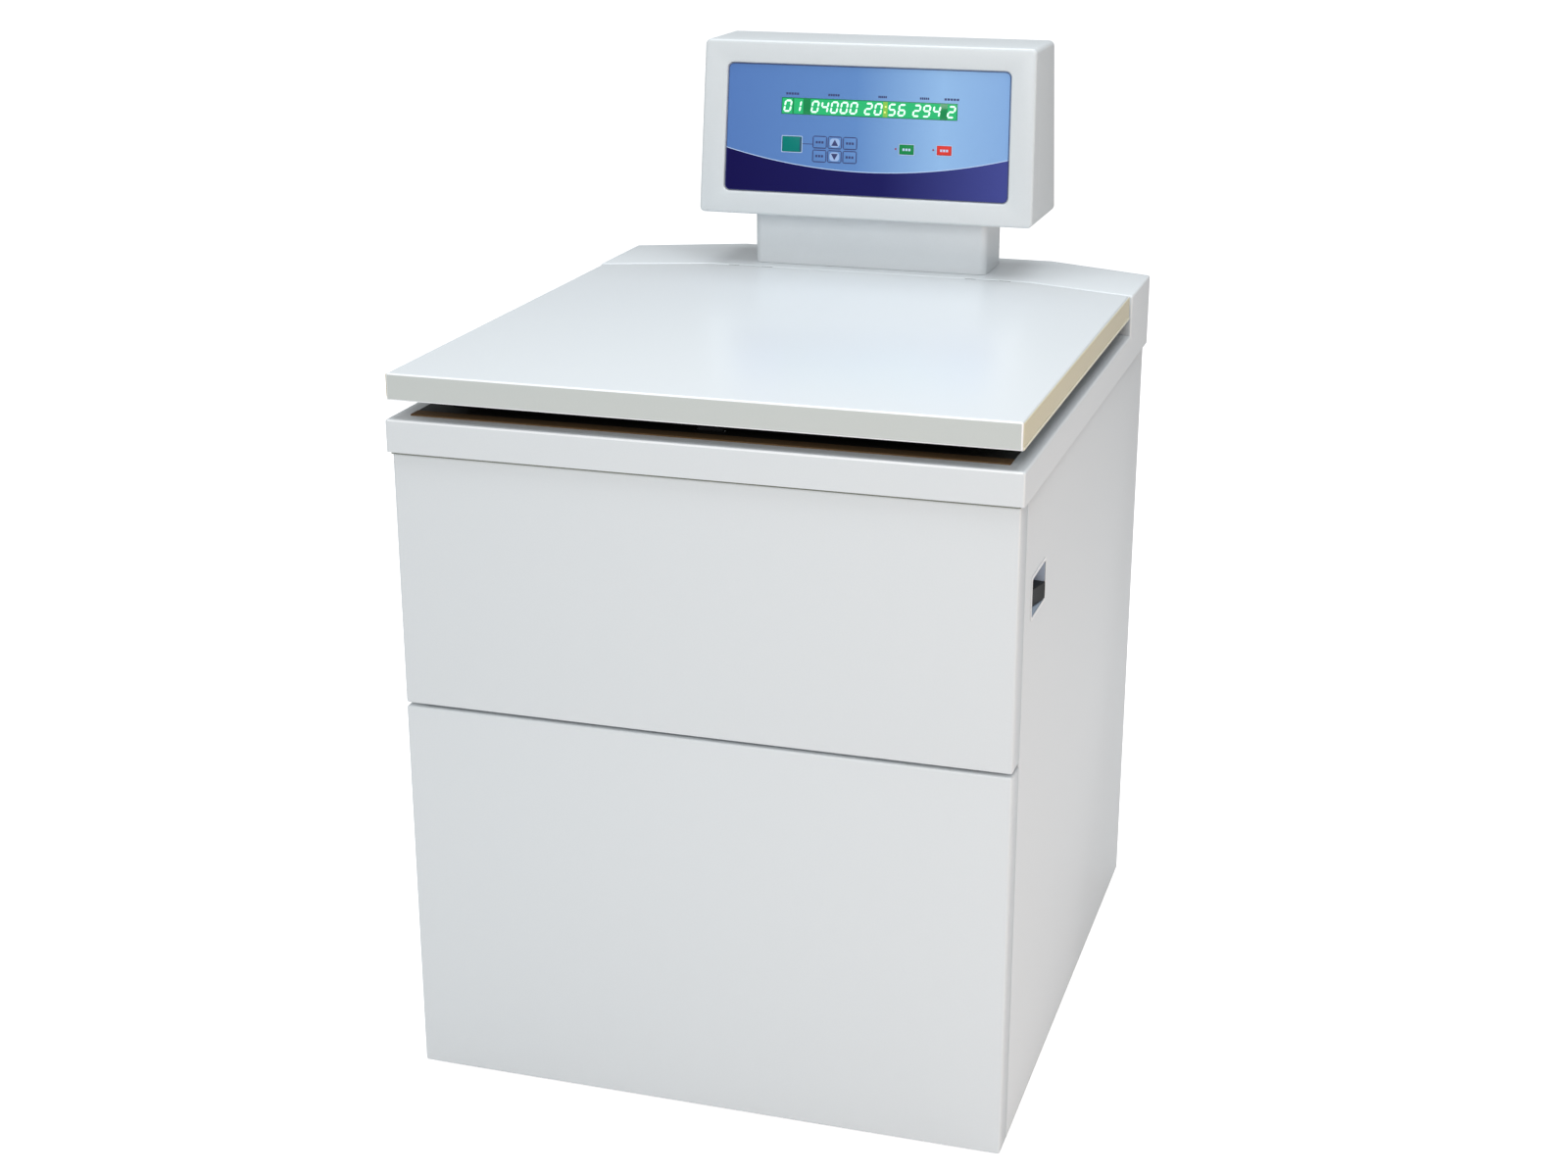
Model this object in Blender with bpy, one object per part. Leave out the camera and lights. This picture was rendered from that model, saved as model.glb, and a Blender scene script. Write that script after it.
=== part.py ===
"""Floor-standing laboratory centrifuge: sheet-metal cabinet, cooled chamber with a swing-out rotor,
hinged lid, and a console on a pedestal. Metres, +Z up, front towards -Y, floor at z = 0."""

from math import cos, pi, radians, sin

import bmesh
import bpy
from mathutils import Matrix, Vector

# ---------------------------------------------------------------- driving dimensions
GAP = 0.0003                 # clearance between neighbouring solids
SHEET = 0.0015               # cabinet sheet
COVER_SHEET = 0.002          # top cover sheet

PANEL_X = 0.350              # half width of the cabinet
PANEL_FRONT = -0.4135
PANEL_TOP = 0.790            # the panels end inside the cover's skirt
PANEL_FOOT = 0.012
FRONT_RETURN = -0.3790       # where the front pans' side returns end
SIDE_REAR = 0.3580
RETURN = 0.012               # depth of a side panel's folded edges
SEAM_LOW, SEAM_HIGH = 0.4680, 0.4715

COVER_X = 0.3545
COVER_FRONT, COVER_BACK = -0.4193, 0.4193
SKIRT_FOOT, RIM_TOP, DECK_TOP = 0.7671, 0.8041, 0.8558
REAR_CHAMFER_Y, REAR_CHAMFER_X = 0.3625, 0.2150
DECK_SIDE_Y, DECK_FRONT_Y, DECK_FRONT_X = 0.2235, 0.2715, 0.2155

LID_X, LID_BOTTOM = 0.3505, 0.8254
LID_SIDE_Y, LID_BACK_Y, LID_BACK_X = 0.2212, 0.2675, 0.2150
LID_EDGE = 0.002             # fold radius round the lid's top
HINGE_Y, HINGE_Z = 0.2695, 0.8535
HINGE_X = 0.160              # middle of each hinge
PIN_R, KNUCKLE_R = 0.0009, 0.0018
LEAF_FOOT = 0.8380            # lower edge of the lid's hinge leaves

CHAMBER_Y = -0.0775          # rotor axis
BOWL_R, BOWL_FLOOR = 0.250, 0.560
ROUND = 48                   # sides of the large turned pieces
ROTOR_Z, TRUNNION = 0.711, 0.122

SHELF_BOTTOM, SHELF_TOP = 0.455, 0.463
TRAY_TOP = 0.054

STRUT_X = 0.327
STRUT_LOW = (-0.0205, 0.5605)  # (y, z) of the lower eye
STRUT_HIGH = (0.1700, 0.8405)
STRUT_STUD_END = 0.3225

STRIKER_Y = -0.3595          # middle of the striker's plate
LOCK_FRONT, LOCK_REAR = -0.3920, -0.3465
LOCK_FOOT, LOCK_TOP = 0.7350, 0.7995

CONSOLE_X, CONSOLE_LOW, CONSOLE_HIGH = 0.2199, 0.9253, 1.1463
CONSOLE_FRONT, CONSOLE_SPLIT, CONSOLE_BACK = 0.2702, 0.3000, 0.4040   # at half its height
CONSOLE_SHIFT = -0.0053      # the console and its post stand a little left of the middle
CONSOLE_TAPER = 0.0048       # each side draws in by this much from bottom to top
FRONT_LEAN, REAR_LEAN = 0.0194, -0.0160   # how far the front and the rear lean over the whole height
PANEL_W, PANEL_H, PANEL_Z = 0.3743, 0.1618, 1.0361
FACE_Y = 0.2732              # front of the membrane

for old in list(bpy.data.objects):
    bpy.data.objects.remove(old, do_unlink=True)


# ---------------------------------------------------------------- modelling helpers
def material(name, colour, roughness, metallic=0.0):
    mat = bpy.data.materials.new(name)
    mat.use_nodes = True
    shader = mat.node_tree.nodes["Principled BSDF"]
    shader.inputs["Base Color"].default_value = (*colour, 1.0)
    shader.inputs["Roughness"].default_value = roughness
    shader.inputs["Metallic"].default_value = metallic
    return mat


def as_object(name, bm):
    """A mesh object from a bmesh, its faces turned outwards."""
    bmesh.ops.recalc_face_normals(bm, faces=bm.faces)
    mesh = bpy.data.meshes.new(name)
    bm.to_mesh(mesh)
    bm.free()
    obj = bpy.data.objects.new(name, mesh)
    bpy.context.collection.objects.link(obj)
    return obj


AXES = {"x": Matrix(((0, 0, 1), (1, 0, 0), (0, 1, 0))),   # outline (u, v) lies in Y, Z
        "y": Matrix(((1, 0, 0), (0, 0, 1), (0, 1, 0))),   # outline lies in X, Z
        "z": Matrix.Identity(3)}                          # outline lies in X, Y


def prism(outline, low, high, axis="z"):
    """An outline pushed along an axis from low to high."""
    bm = bmesh.new()
    turn = AXES[axis]
    foot = [bm.verts.new(turn @ Vector((u, v, low))) for u, v in outline]
    head = [bm.verts.new(turn @ Vector((u, v, high))) for u, v in outline]
    bm.faces.new(foot)
    bm.faces.new(head)
    for i in range(len(outline)):
        j = (i + 1) % len(outline)
        bm.faces.new((foot[i], foot[j], head[j], head[i]))
    return as_object("piece", bm)


def box(low, high):
    (x0, y0, z0), (x1, y1, z1) = low, high
    return prism([(x0, y0), (x1, y0), (x1, y1), (x0, y1)], z0, z1)


def turned(profile, centre=(0.0, 0.0), sides=ROUND):
    """A profile of (radius, z) turned about a vertical axis; it is a closed loop, or starts and ends on the axis."""
    bm = bmesh.new()
    rings = []
    for r, z in profile:
        if r == 0:
            rings.append([bm.verts.new((centre[0], centre[1], z))] * sides)
        else:
            angles = [2 * pi * (k + 0.5) / sides for k in range(sides)]
            rings.append([bm.verts.new((centre[0] + r * cos(a), centre[1] + r * sin(a), z)) for a in angles])
    closed = profile[0][0] > 0
    for i in range(len(rings) if closed else len(rings) - 1):
        a, b = rings[i], rings[(i + 1) % len(rings)]
        for k in range(sides):
            m = (k + 1) % sides
            corners = list(dict.fromkeys((a[k], a[m], b[m], b[k])))
            if len(corners) > 2:
                bm.faces.new(corners)
    return as_object("piece", bm)


def rod(start, end, radius, sides=16):
    """A round bar between two points."""
    start, end = Vector(start), Vector(end)
    along = end - start
    bm = bmesh.new()
    frame = along.to_track_quat("Z", "Y").to_matrix().to_4x4()
    bmesh.ops.create_cone(bm, cap_ends=True, segments=sides, radius1=radius, radius2=radius, depth=along.length,
                          matrix=Matrix.Translation((start + end) / 2) @ frame)
    return as_object("piece", bm)


def rounded(half_u, half_v, radius, centre=(0.0, 0.0), steps=3):
    """A rectangle's outline with round corners."""
    points = []
    for quarter in range(4):
        su = 1 if quarter in (0, 3) else -1
        sv = 1 if quarter in (0, 1) else -1
        for k in range(steps + 1):
            a = pi / 2 * (quarter + k / steps)
            points.append((centre[0] + su * (half_u - radius) + radius * cos(a),
                           centre[1] + sv * (half_v - radius) + radius * sin(a)))
    return points


def inset(outline, distance):
    """An anticlockwise outline moved inwards."""
    moved = []
    for i, point in enumerate(outline):
        before, here, after = Vector(outline[i - 1]), Vector(point), Vector(outline[(i + 1) % len(outline)])
        a, b = (here - before).normalized(), (after - here).normalized()
        na, nb = Vector((-a.y, a.x)), Vector((-b.y, b.x))
        shift = (na + nb) * distance / (1 + na.dot(nb))
        moved.append((here.x + shift.x, here.y + shift.y))
    return moved


def combine(base, others, operation):
    """Joins solids to base, or cuts them from it."""
    for other in others:
        boolean = base.modifiers.new("boolean", "BOOLEAN")
        boolean.operation = operation
        boolean.solver = "EXACT"
        boolean.object = other
        bpy.context.view_layer.update()
        mesh = bpy.data.meshes.new_from_object(base.evaluated_get(bpy.context.evaluated_depsgraph_get()))
        base.modifiers.clear()
        base.data = mesh
        bpy.data.objects.remove(other, do_unlink=True)
    return base


def join(base, *others):
    return combine(base, others, "UNION")


def cut(base, *others):
    return combine(base, others, "DIFFERENCE")


def round_edges(obj, radius, chosen, segments=2):
    """Bevels the edges whose two ends pass the test."""
    bm = bmesh.new()
    bm.from_mesh(obj.data)
    edges = [e for e in bm.edges if chosen(e.verts[0].co, e.verts[1].co)]
    bmesh.ops.bevel(bm, geom=edges, offset=radius, segments=segments, profile=0.5, affect="EDGES")
    bm.to_mesh(obj.data)
    bm.free()
    return obj


def finish(obj, name, mat, pivot=(0.0, 0.0, 0.0), smooth=False):
    """Names a piece, gives it its material, and puts its origin at its pivot."""
    obj.name = obj.data.name = name
    obj.data.transform(Matrix.Translation(-Vector(pivot)))
    obj.location = pivot
    obj.data.materials.clear()
    obj.data.materials.append(mat)
    if smooth:
        obj.data.shade_smooth()
        obj.data.set_sharp_from_angle(angle=radians(35))
    return obj


# ---------------------------------------------------------------- materials
WHITE = material("white_enamel", (0.72, 0.75, 0.77), 0.28)
BLACK = material("black_plastic", (0.02, 0.02, 0.02), 0.5)
RUBBER = material("black_rubber", (0.03, 0.03, 0.03), 0.8)
STAINLESS = material("stainless", (0.62, 0.62, 0.60), 0.3, 1.0)
STEEL = material("zinc_plate", (0.55, 0.56, 0.58), 0.4, 1.0)
COPPER = material("copper", (0.75, 0.38, 0.22), 0.35, 1.0)
ALUMINIUM = material("anodised_aluminium", (0.60, 0.61, 0.63), 0.35, 1.0)
FOAM = material("foam", (0.80, 0.72, 0.45), 0.9)
MOTOR_GREY = material("motor_enamel", (0.16, 0.18, 0.20), 0.45)
GREY = material("grey_plastic", (0.50, 0.54, 0.60), 0.45)
BLUE = material("membrane_blue", (0.13, 0.25, 0.52), 0.35)
GREEN = material("display_green", (0.02, 0.25, 0.08), 0.2)
TEAL = material("key_teal", (0.01, 0.30, 0.24), 0.4)
RED = material("key_red", (0.65, 0.05, 0.04), 0.4)
LEAF = material("key_green", (0.03, 0.35, 0.10), 0.4)


# ---------------------------------------------------------------- base, feet and inner frame
def base_tray():
    tray = box((-0.335, -0.3755, 0.016), (0.335, 0.350, TRAY_TOP))
    hollow = box((-0.333, -0.3735, 0.006), (0.333, 0.348, TRAY_TOP - 0.004))
    finish(cut(tray, hollow), "base_tray", STEEL)


def feet():
    """Levelling feet: a pad on a stem under each corner of the tray."""
    for side, x in (("left", -0.300), ("right", 0.300)):
        for end, y in (("front", -0.340), ("rear", 0.310)):
            profile = [(0, TRAY_TOP - 0.004 - GAP), (0.006, TRAY_TOP - 0.004 - GAP), (0.006, 0.013),
                       (0.021, 0.010), (0.024, 0.004), (0.024, 0), (0, 0)]
            finish(turned(profile, (x, y), 16), f"foot_{end}_{side}", RUBBER, smooth=True)


def drive_frame():
    """Welded shelf on four legs; it carries the motor, the guard ring and the lid's gas springs."""
    shelf = box((-0.306, -0.375, SHELF_BOTTOM), (0.306, 0.225, SHELF_TOP))
    legs = [box((x - 0.015, y - 0.015, TRAY_TOP + GAP), (x + 0.015, y + 0.015, SHELF_BOTTOM + 0.002))
            for x in (-0.290, 0.290) for y in (-0.359, 0.209)]
    y, z = STRUT_LOW
    ears = []
    for side in (-1, 1):
        inner, outer = sorted((side * 0.300, side * 0.306))
        ears.append(box((inner, y - 0.015, SHELF_BOTTOM + 0.002), (outer, y + 0.015, z + 0.012)))
        ears.append(rod((side * 0.303, y, z), (side * 0.334, y, z), 0.004, 12))
    frame = join(shelf, *legs, *ears)
    hole = rod((0, CHAMBER_Y, SHELF_BOTTOM - 0.01), (0, CHAMBER_Y, SHELF_TOP + 0.01), 0.095, 32)
    finish(cut(frame, hole), "drive_frame", STEEL)


# ---------------------------------------------------------------- cabinet panels
SWITCH_Y, SWITCH_Z = -0.3080, 0.6445
SWITCH_HALF_Y, SWITCH_HALF_Z = 0.0375, 0.0235


def side_panels():
    for side, name in ((-1, "left_side_panel"), (1, "right_side_panel")):
        outer, fold, skin = side * PANEL_X, side * (PANEL_X - RETURN), side * (PANEL_X - SHEET)
        low = (min(outer, fold), FRONT_RETURN + 0.0005, PANEL_FOOT)
        pan = box(low, (max(outer, fold), SIDE_REAR, PANEL_TOP))
        beyond = side * (PANEL_X - RETURN - 0.01)
        hollow = box((min(skin, beyond), low[1] + SHEET, PANEL_FOOT + SHEET),
                     (max(skin, beyond), SIDE_REAR - SHEET, PANEL_TOP - SHEET))
        cut(pan, hollow)
        if side == 1:
            window = rounded(SWITCH_HALF_Y, SWITCH_HALF_Z, 0.005, (SWITCH_Y, SWITCH_Z))
            cut(pan, prism(window, PANEL_X - 0.01, PANEL_X + 0.01, "x"))
        finish(pan, name, WHITE)


def front_panels():
    """Two pans with deep side returns; the dark seam between them is open."""
    upper = box((-PANEL_X, PANEL_FRONT, SEAM_HIGH), (PANEL_X, FRONT_RETURN, PANEL_TOP))
    inside = PANEL_X - SHEET
    hollow = box((-inside, PANEL_FRONT + SHEET, SEAM_HIGH + SHEET), (inside, FRONT_RETURN + 0.02, PANEL_TOP + 0.02))
    finish(cut(upper, hollow), "upper_front_panel", WHITE)
    lower = box((-PANEL_X, PANEL_FRONT, PANEL_FOOT), (PANEL_X, FRONT_RETURN, SEAM_LOW))
    hollow = box((-inside, PANEL_FRONT + SHEET, PANEL_FOOT + SHEET), (inside, FRONT_RETURN + 0.02, SEAM_LOW - SHEET))
    finish(cut(lower, hollow), "lower_front_panel", WHITE)


INLET_X, INLET_Z = 0.140, 0.110
REAR_Y = COVER_BACK - 0.0045


def rear_panel():
    """One folded sheet: a flat middle and two slanted wings, with a vent grille and the inlet's window."""
    outer = [(PANEL_X, SIDE_REAR + 0.0005), (REAR_CHAMFER_X - 0.0015, REAR_Y),
             (-REAR_CHAMFER_X + 0.0015, REAR_Y), (-PANEL_X, SIDE_REAR + 0.0005)]
    inner = [(-PANEL_X + 0.004, SIDE_REAR + 0.0005), (-REAR_CHAMFER_X + 0.0018, REAR_Y - SHEET),
             (REAR_CHAMFER_X - 0.0018, REAR_Y - SHEET), (PANEL_X - 0.004, SIDE_REAR + 0.0005)]
    panel = prism(outer + inner, PANEL_FOOT, PANEL_TOP)
    slots = [box((-0.150, REAR_Y - 0.01, z), (0.100, REAR_Y + 0.01, z + 0.006))
             for z in [0.120 + 0.018 * k for k in range(12)]]
    window = box((INLET_X - 0.0140, REAR_Y - 0.01, INLET_Z - 0.0120),
                 (INLET_X + 0.0140, REAR_Y + 0.01, INLET_Z + 0.0120))
    finish(cut(panel, *slots, window), "rear_panel", WHITE)


COVER_PLAN = [(-COVER_X, COVER_FRONT), (COVER_X, COVER_FRONT), (COVER_X, REAR_CHAMFER_Y),
              (REAR_CHAMFER_X, COVER_BACK), (-REAR_CHAMFER_X, COVER_BACK), (-COVER_X, REAR_CHAMFER_Y)]
DECK_PLAN = [(-DECK_FRONT_X, DECK_FRONT_Y), (DECK_FRONT_X, DECK_FRONT_Y), (COVER_X, DECK_SIDE_Y),
             (COVER_X, REAR_CHAMFER_Y), (REAR_CHAMFER_X, COVER_BACK), (-REAR_CHAMFER_X, COVER_BACK),
             (-COVER_X, REAR_CHAMFER_Y), (-COVER_X, DECK_SIDE_Y)]


def top_cover():
    """Folded cover: a flat rim round the chamber mouth, stepping up to the raised deck behind the lid."""
    cover = prism(COVER_PLAN, SKIRT_FOOT, RIM_TOP)
    join(cover, prism(DECK_PLAN, SKIRT_FOOT + 0.001, DECK_TOP))
    cut(cover, prism(inset(COVER_PLAN, COVER_SHEET), SKIRT_FOOT - 0.01, RIM_TOP - COVER_SHEET))
    cut(cover, prism(inset(DECK_PLAN, COVER_SHEET), SKIRT_FOOT - 0.02, DECK_TOP - COVER_SHEET))
    mouth = rod((0, CHAMBER_Y, RIM_TOP - 0.02), (0, CHAMBER_Y, RIM_TOP + 0.02), BOWL_R + 0.004, ROUND)
    slots = [box((side * STRUT_X - 0.008, 0.119, RIM_TOP - 0.02), (side * STRUT_X + 0.008, 0.163, RIM_TOP + 0.02))
             for side in (-1, 1)]
    latch = box((-0.018, STRIKER_Y - 0.006, RIM_TOP - 0.02), (0.018, STRIKER_Y + 0.006, RIM_TOP + 0.02))
    finish(cut(cover, mouth, *slots, latch), "top_cover", WHITE)


# ---------------------------------------------------------------- chamber
def lock_bay():
    """Room for the lid lock, let into the front of the foam and the guard ring."""
    return box((-0.033, LOCK_FRONT - 0.03, LOCK_FOOT - 0.003), (0.033, LOCK_REAR + 0.002, LOCK_TOP + 0.01))


def chamber():
    axis = (0, CHAMBER_Y)
    flange = RIM_TOP - COVER_SHEET - GAP
    wall = BOWL_R + SHEET
    bowl = [(0.030, BOWL_FLOOR), (BOWL_R - 0.015, BOWL_FLOOR), (BOWL_R, BOWL_FLOOR + 0.015), (BOWL_R, flange),
            (BOWL_R + 0.022, flange), (BOWL_R + 0.022, flange - SHEET), (wall, flange - SHEET),
            (wall, BOWL_FLOOR + 0.0144), (wall - 0.0159, BOWL_FLOOR - SHEET), (0.030, BOWL_FLOOR - SHEET)]
    finish(turned(bowl, axis), "chamber_bowl", STAINLESS, smooth=True)
    foam_top, foam_r, foam_out = flange - SHEET - 0.0008, 0.2640, 0.2850
    foam = [(foam_r, foam_top), (foam_r, BOWL_FLOOR - 0.002), (0.045, BOWL_FLOOR - 0.002), (0.045, 0.530),
            (0.255, 0.530), (0.255, SHELF_TOP + 0.0006), (foam_out, SHELF_TOP + 0.0006), (foam_out, foam_top)]
    finish(cut(turned(foam, axis), lock_bay()), "chamber_insulation", FOAM)
    ring = [(foam_out + 0.0005, 0.795), (foam_out + 0.0005, SHELF_TOP + GAP), (0.2925, SHELF_TOP + GAP),
            (0.2925, 0.795)]
    finish(cut(turned(ring, axis), lock_bay()), "armour_ring", STEEL, smooth=True)
    seal = [(0.2580, RIM_TOP + GAP), (0.2740, RIM_TOP + GAP), (0.2740, RIM_TOP + 0.0025), (0.2700, RIM_TOP + 0.0040),
            (0.2620, RIM_TOP + 0.0040), (0.2580, RIM_TOP + 0.0025)]
    finish(turned(seal, axis), "chamber_gasket", RUBBER, smooth=True)


def evaporator_coil():
    """Copper tube wound three turns round the bowl."""
    turns, per_turn, radius = 3, 40, 0.2572
    curve = bpy.data.curves.new("evaporator_coil", "CURVE")
    curve.dimensions = "3D"
    curve.bevel_depth, curve.bevel_resolution, curve.use_fill_caps = 0.0042, 1, True
    spline = curve.splines.new("POLY")
    count = turns * per_turn + 1
    spline.points.add(count - 1)
    for k in range(count):
        a = 2 * pi * k / per_turn
        spline.points[k].co = (radius * cos(a), radius * sin(a), 0.620 + 0.150 * k / count, 1)
    coil = bpy.data.objects.new("evaporator_coil", curve)
    coil.location = (0, CHAMBER_Y, 0)
    coil.data.materials.append(COPPER)
    bpy.context.collection.objects.link(coil)


# ---------------------------------------------------------------- drive and rotor
def drive():
    axis = (0, CHAMBER_Y)
    flange_low = SHELF_TOP + 0.027
    motor = [(0.013, 0.512), (0.030, 0.512), (0.030, 0.500), (0.130, 0.500), (0.130, flange_low), (0.085, flange_low),
             (0.085, 0.275), (0.060, 0.262), (0.013, 0.262)]
    finish(turned(motor, axis, 32), "drive_motor", MOTOR_GREY, smooth=True)
    for k in range(3):
        a = radians(90 + 120 * k)
        x, y = 0.114 * cos(a), CHAMBER_Y + 0.114 * sin(a)
        damper = [(0, flange_low - GAP), (0.017, flange_low - GAP), (0.014, SHELF_TOP + 0.0135),
                  (0.017, SHELF_TOP + GAP), (0, SHELF_TOP + GAP)]
        finish(turned(damper, (x, y), 16), f"motor_damper_{k + 1}", RUBBER, smooth=True)
    pivot = (0, CHAMBER_Y, ROTOR_Z)
    shaft = rod((0, CHAMBER_Y, 0.275), (0, CHAMBER_Y, 0.768), 0.011, 24)
    finish(shaft, "drive_shaft", STEEL, pivot, True)
    nut = [(0, 0.775), (0.016, 0.775), (0.020, 0.771), (0.020, 0.7483), (0.0115, 0.7483), (0.0115, 0.770), (0, 0.770)]
    finish(turned(nut, axis, 16), "rotor_nut", STAINLESS, pivot)


def rotor_head():
    """Four-place swing-out head: a disc with a bay for each bucket, and a trunnion pin on each side of it."""
    head = rod((0, CHAMBER_Y, ROTOR_Z - 0.017), (0, CHAMBER_Y, ROTOR_Z + 0.017), 0.176, ROUND)
    bays, pins = [], []
    for k in range(4):
        turn = Matrix.Translation((0, CHAMBER_Y, 0)) @ Matrix.Rotation(k * pi / 2, 4, "Z")
        bay = box((0.070, -0.050, ROTOR_Z - 0.03), (0.200, 0.050, ROTOR_Z + 0.03))
        bay.data.transform(turn)
        bays.append(bay)
        for side in (-1, 1):
            pin = rod((TRUNNION, side * 0.0435, ROTOR_Z), (TRUNNION, side * 0.056, ROTOR_Z), 0.005, 12)
            pin.data.transform(turn)
            pins.append(pin)
    cut(head, *bays)
    join(head, *pins, rod((0, CHAMBER_Y, ROTOR_Z - 0.022), (0, CHAMBER_Y, ROTOR_Z + 0.037), 0.030, 32))
    cut(head, rod((0, CHAMBER_Y, ROTOR_Z - 0.05), (0, CHAMBER_Y, ROTOR_Z + 0.05), 0.0114, 24))
    finish(head, "rotor_head", ALUMINIUM, (0, CHAMBER_Y, ROTOR_Z))


def buckets():
    """Cups that hang from the trunnion pins and swing out level when the rotor turns."""
    for k in range(4):
        a = k * pi / 2
        cup = turned([(0, ROTOR_Z - 0.107), (0.0360, ROTOR_Z - 0.107), (0.0385, ROTOR_Z - 0.104),
                      (0.0385, ROTOR_Z + 0.024), (0.0415, ROTOR_Z + 0.024), (0.0415, ROTOR_Z - 0.106),
                      (0.0370, ROTOR_Z - 0.111), (0, ROTOR_Z - 0.111)], (TRUNNION, 0), 24)
        bosses = [rod((TRUNNION, side * 0.0395, ROTOR_Z), (TRUNNION, side * 0.0488, ROTOR_Z), 0.0095, 16)
                  for side in (-1, 1)]
        bores = [rod((TRUNNION, side * 0.0425, ROTOR_Z), (TRUNNION, side * 0.0520, ROTOR_Z), 0.0056, 12)
                 for side in (-1, 1)]
        cut(join(cup, *bosses), *bores)
        # a boss reaches past the cup's wall, so the cup is cleared inside again
        cut(cup, turned([(0, ROTOR_Z + 0.02), (0.0384, ROTOR_Z + 0.02), (0.0384, ROTOR_Z - 0.02),
                         (0, ROTOR_Z - 0.02)], (TRUNNION, 0), 24))
        cup.data.transform(Matrix.Translation((0, CHAMBER_Y, 0)) @ Matrix.Rotation(a, 4, "Z"))
        pivot = (TRUNNION * cos(a), CHAMBER_Y + TRUNNION * sin(a), ROTOR_Z)
        finish(cup, f"bucket_{k + 1}", ALUMINIUM, pivot, True)


# ---------------------------------------------------------------- cooling and electrics
def cooling():
    centre = (-0.185, -0.215)
    dome = turned([(0, 0.285), (0.050, 0.280), (0.080, 0.250), (0.085, 0.170), (0.080, 0.100), (0.050, 0.070),
                   (0, 0.066)], centre, 24)
    base = box((centre[0] - 0.090, centre[1] - 0.060, TRAY_TOP + GAP), (centre[0] + 0.090, centre[1] + 0.060, 0.078))
    finish(join(dome, base), "compressor", MOTOR_GREY, smooth=True)
    fan_z = 0.225
    core = box((-0.190, 0.330, TRAY_TOP + GAP), (0.190, 0.370, 0.375))
    join(core, box((-0.160, 0.284, fan_z - 0.145), (0.160, 0.332, fan_z + 0.145)))
    cut(core, rod((0, 0.270, fan_z), (0, 0.326, fan_z), 0.138, 32))
    join(core, rod((0, 0.305, fan_z), (0, 0.335, fan_z), 0.025, 16))
    finish(core, "condenser", ALUMINIUM)
    fan = rod((0, 0.288, fan_z), (0, 0.302, fan_z), 0.032, 20)
    blades = []
    for k in range(5):
        blade = box((0.026, -0.0008, -0.022), (0.128, 0.0008, 0.022))
        pitch = Matrix.Rotation(radians(72), 4, "X")
        place = Matrix.Translation((0, 0.295, fan_z)) @ Matrix.Rotation(2 * pi * k / 5, 4, "Y")
        blade.data.transform(place @ pitch @ Matrix.Rotation(radians(-90), 4, "X"))
        blades.append(blade)
    finish(join(fan, *blades), "condenser_fan", BLACK, (0, 0.295, fan_z))


def electrics():
    drive_box = box((0.110, -0.300, TRAY_TOP + GAP), (0.270, -0.120, 0.300))
    fins = [box((0.1085, -0.290 + 0.020 * k, 0.090), (0.118, -0.280 + 0.020 * k, 0.320)) for k in range(9)]
    finish(cut(drive_box, *fins), "motor_inverter", GREY)
    flange = box((INLET_X - 0.024, REAR_Y + GAP, INLET_Z - 0.016), (INLET_X + 0.024, REAR_Y + 0.003, INLET_Z + 0.016))
    body = box((INLET_X - 0.0137, REAR_Y - 0.030, INLET_Z - 0.0117),
               (INLET_X + 0.0137, REAR_Y + 0.002, INLET_Z + 0.0117))
    socket = box((INLET_X - 0.0115, REAR_Y - 0.016, INLET_Z - 0.0085),
                 (INLET_X + 0.0115, REAR_Y + 0.010, INLET_Z + 0.0085))
    finish(cut(join(flange, body), socket), "power_inlet", BLACK)


def main_switch():
    """A moulded recess let into the right panel, with a wide rocker across its lower half."""
    cup_half_y, cup_half_z = SWITCH_HALF_Y - 0.0005, SWITCH_HALF_Z - 0.0005
    back = PANEL_X - 0.028
    cup = prism(rounded(cup_half_y, cup_half_z, 0.0045, (SWITCH_Y, SWITCH_Z)), back, PANEL_X - 0.0004, "x")
    well = prism(rounded(cup_half_y - 0.0015, cup_half_z - 0.0015, 0.003, (SWITCH_Y, SWITCH_Z)),
                 back + 0.0015, PANEL_X + 0.01, "x")
    finish(cut(cup, well), "switch_recess", GREY)
    pivot = (back + 0.0145, SWITCH_Y, SWITCH_Z - 0.0105)
    outline = [(-0.031, -0.008), (0.031, -0.008), (0.031, 0.012), (0.0, 0.0085), (-0.031, 0.012)]   # (y, x)
    tilt = Matrix.Rotation(radians(7), 2)
    lean = [tilt @ Vector((u, v)) for u, v in outline]
    rocker = prism([(pivot[0] + v, pivot[1] + u) for u, v in lean], pivot[2] - 0.0098, pivot[2] + 0.0098)
    finish(rocker, "switch_rocker", BLACK, pivot)


# ---------------------------------------------------------------- lid, hinges, gas springs and lock
LID_PLAN = [(-LID_X, COVER_FRONT), (LID_X, COVER_FRONT), (LID_X, LID_SIDE_Y), (LID_BACK_X, LID_BACK_Y),
            (-LID_BACK_X, LID_BACK_Y), (-LID_X, LID_SIDE_Y)]


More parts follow.
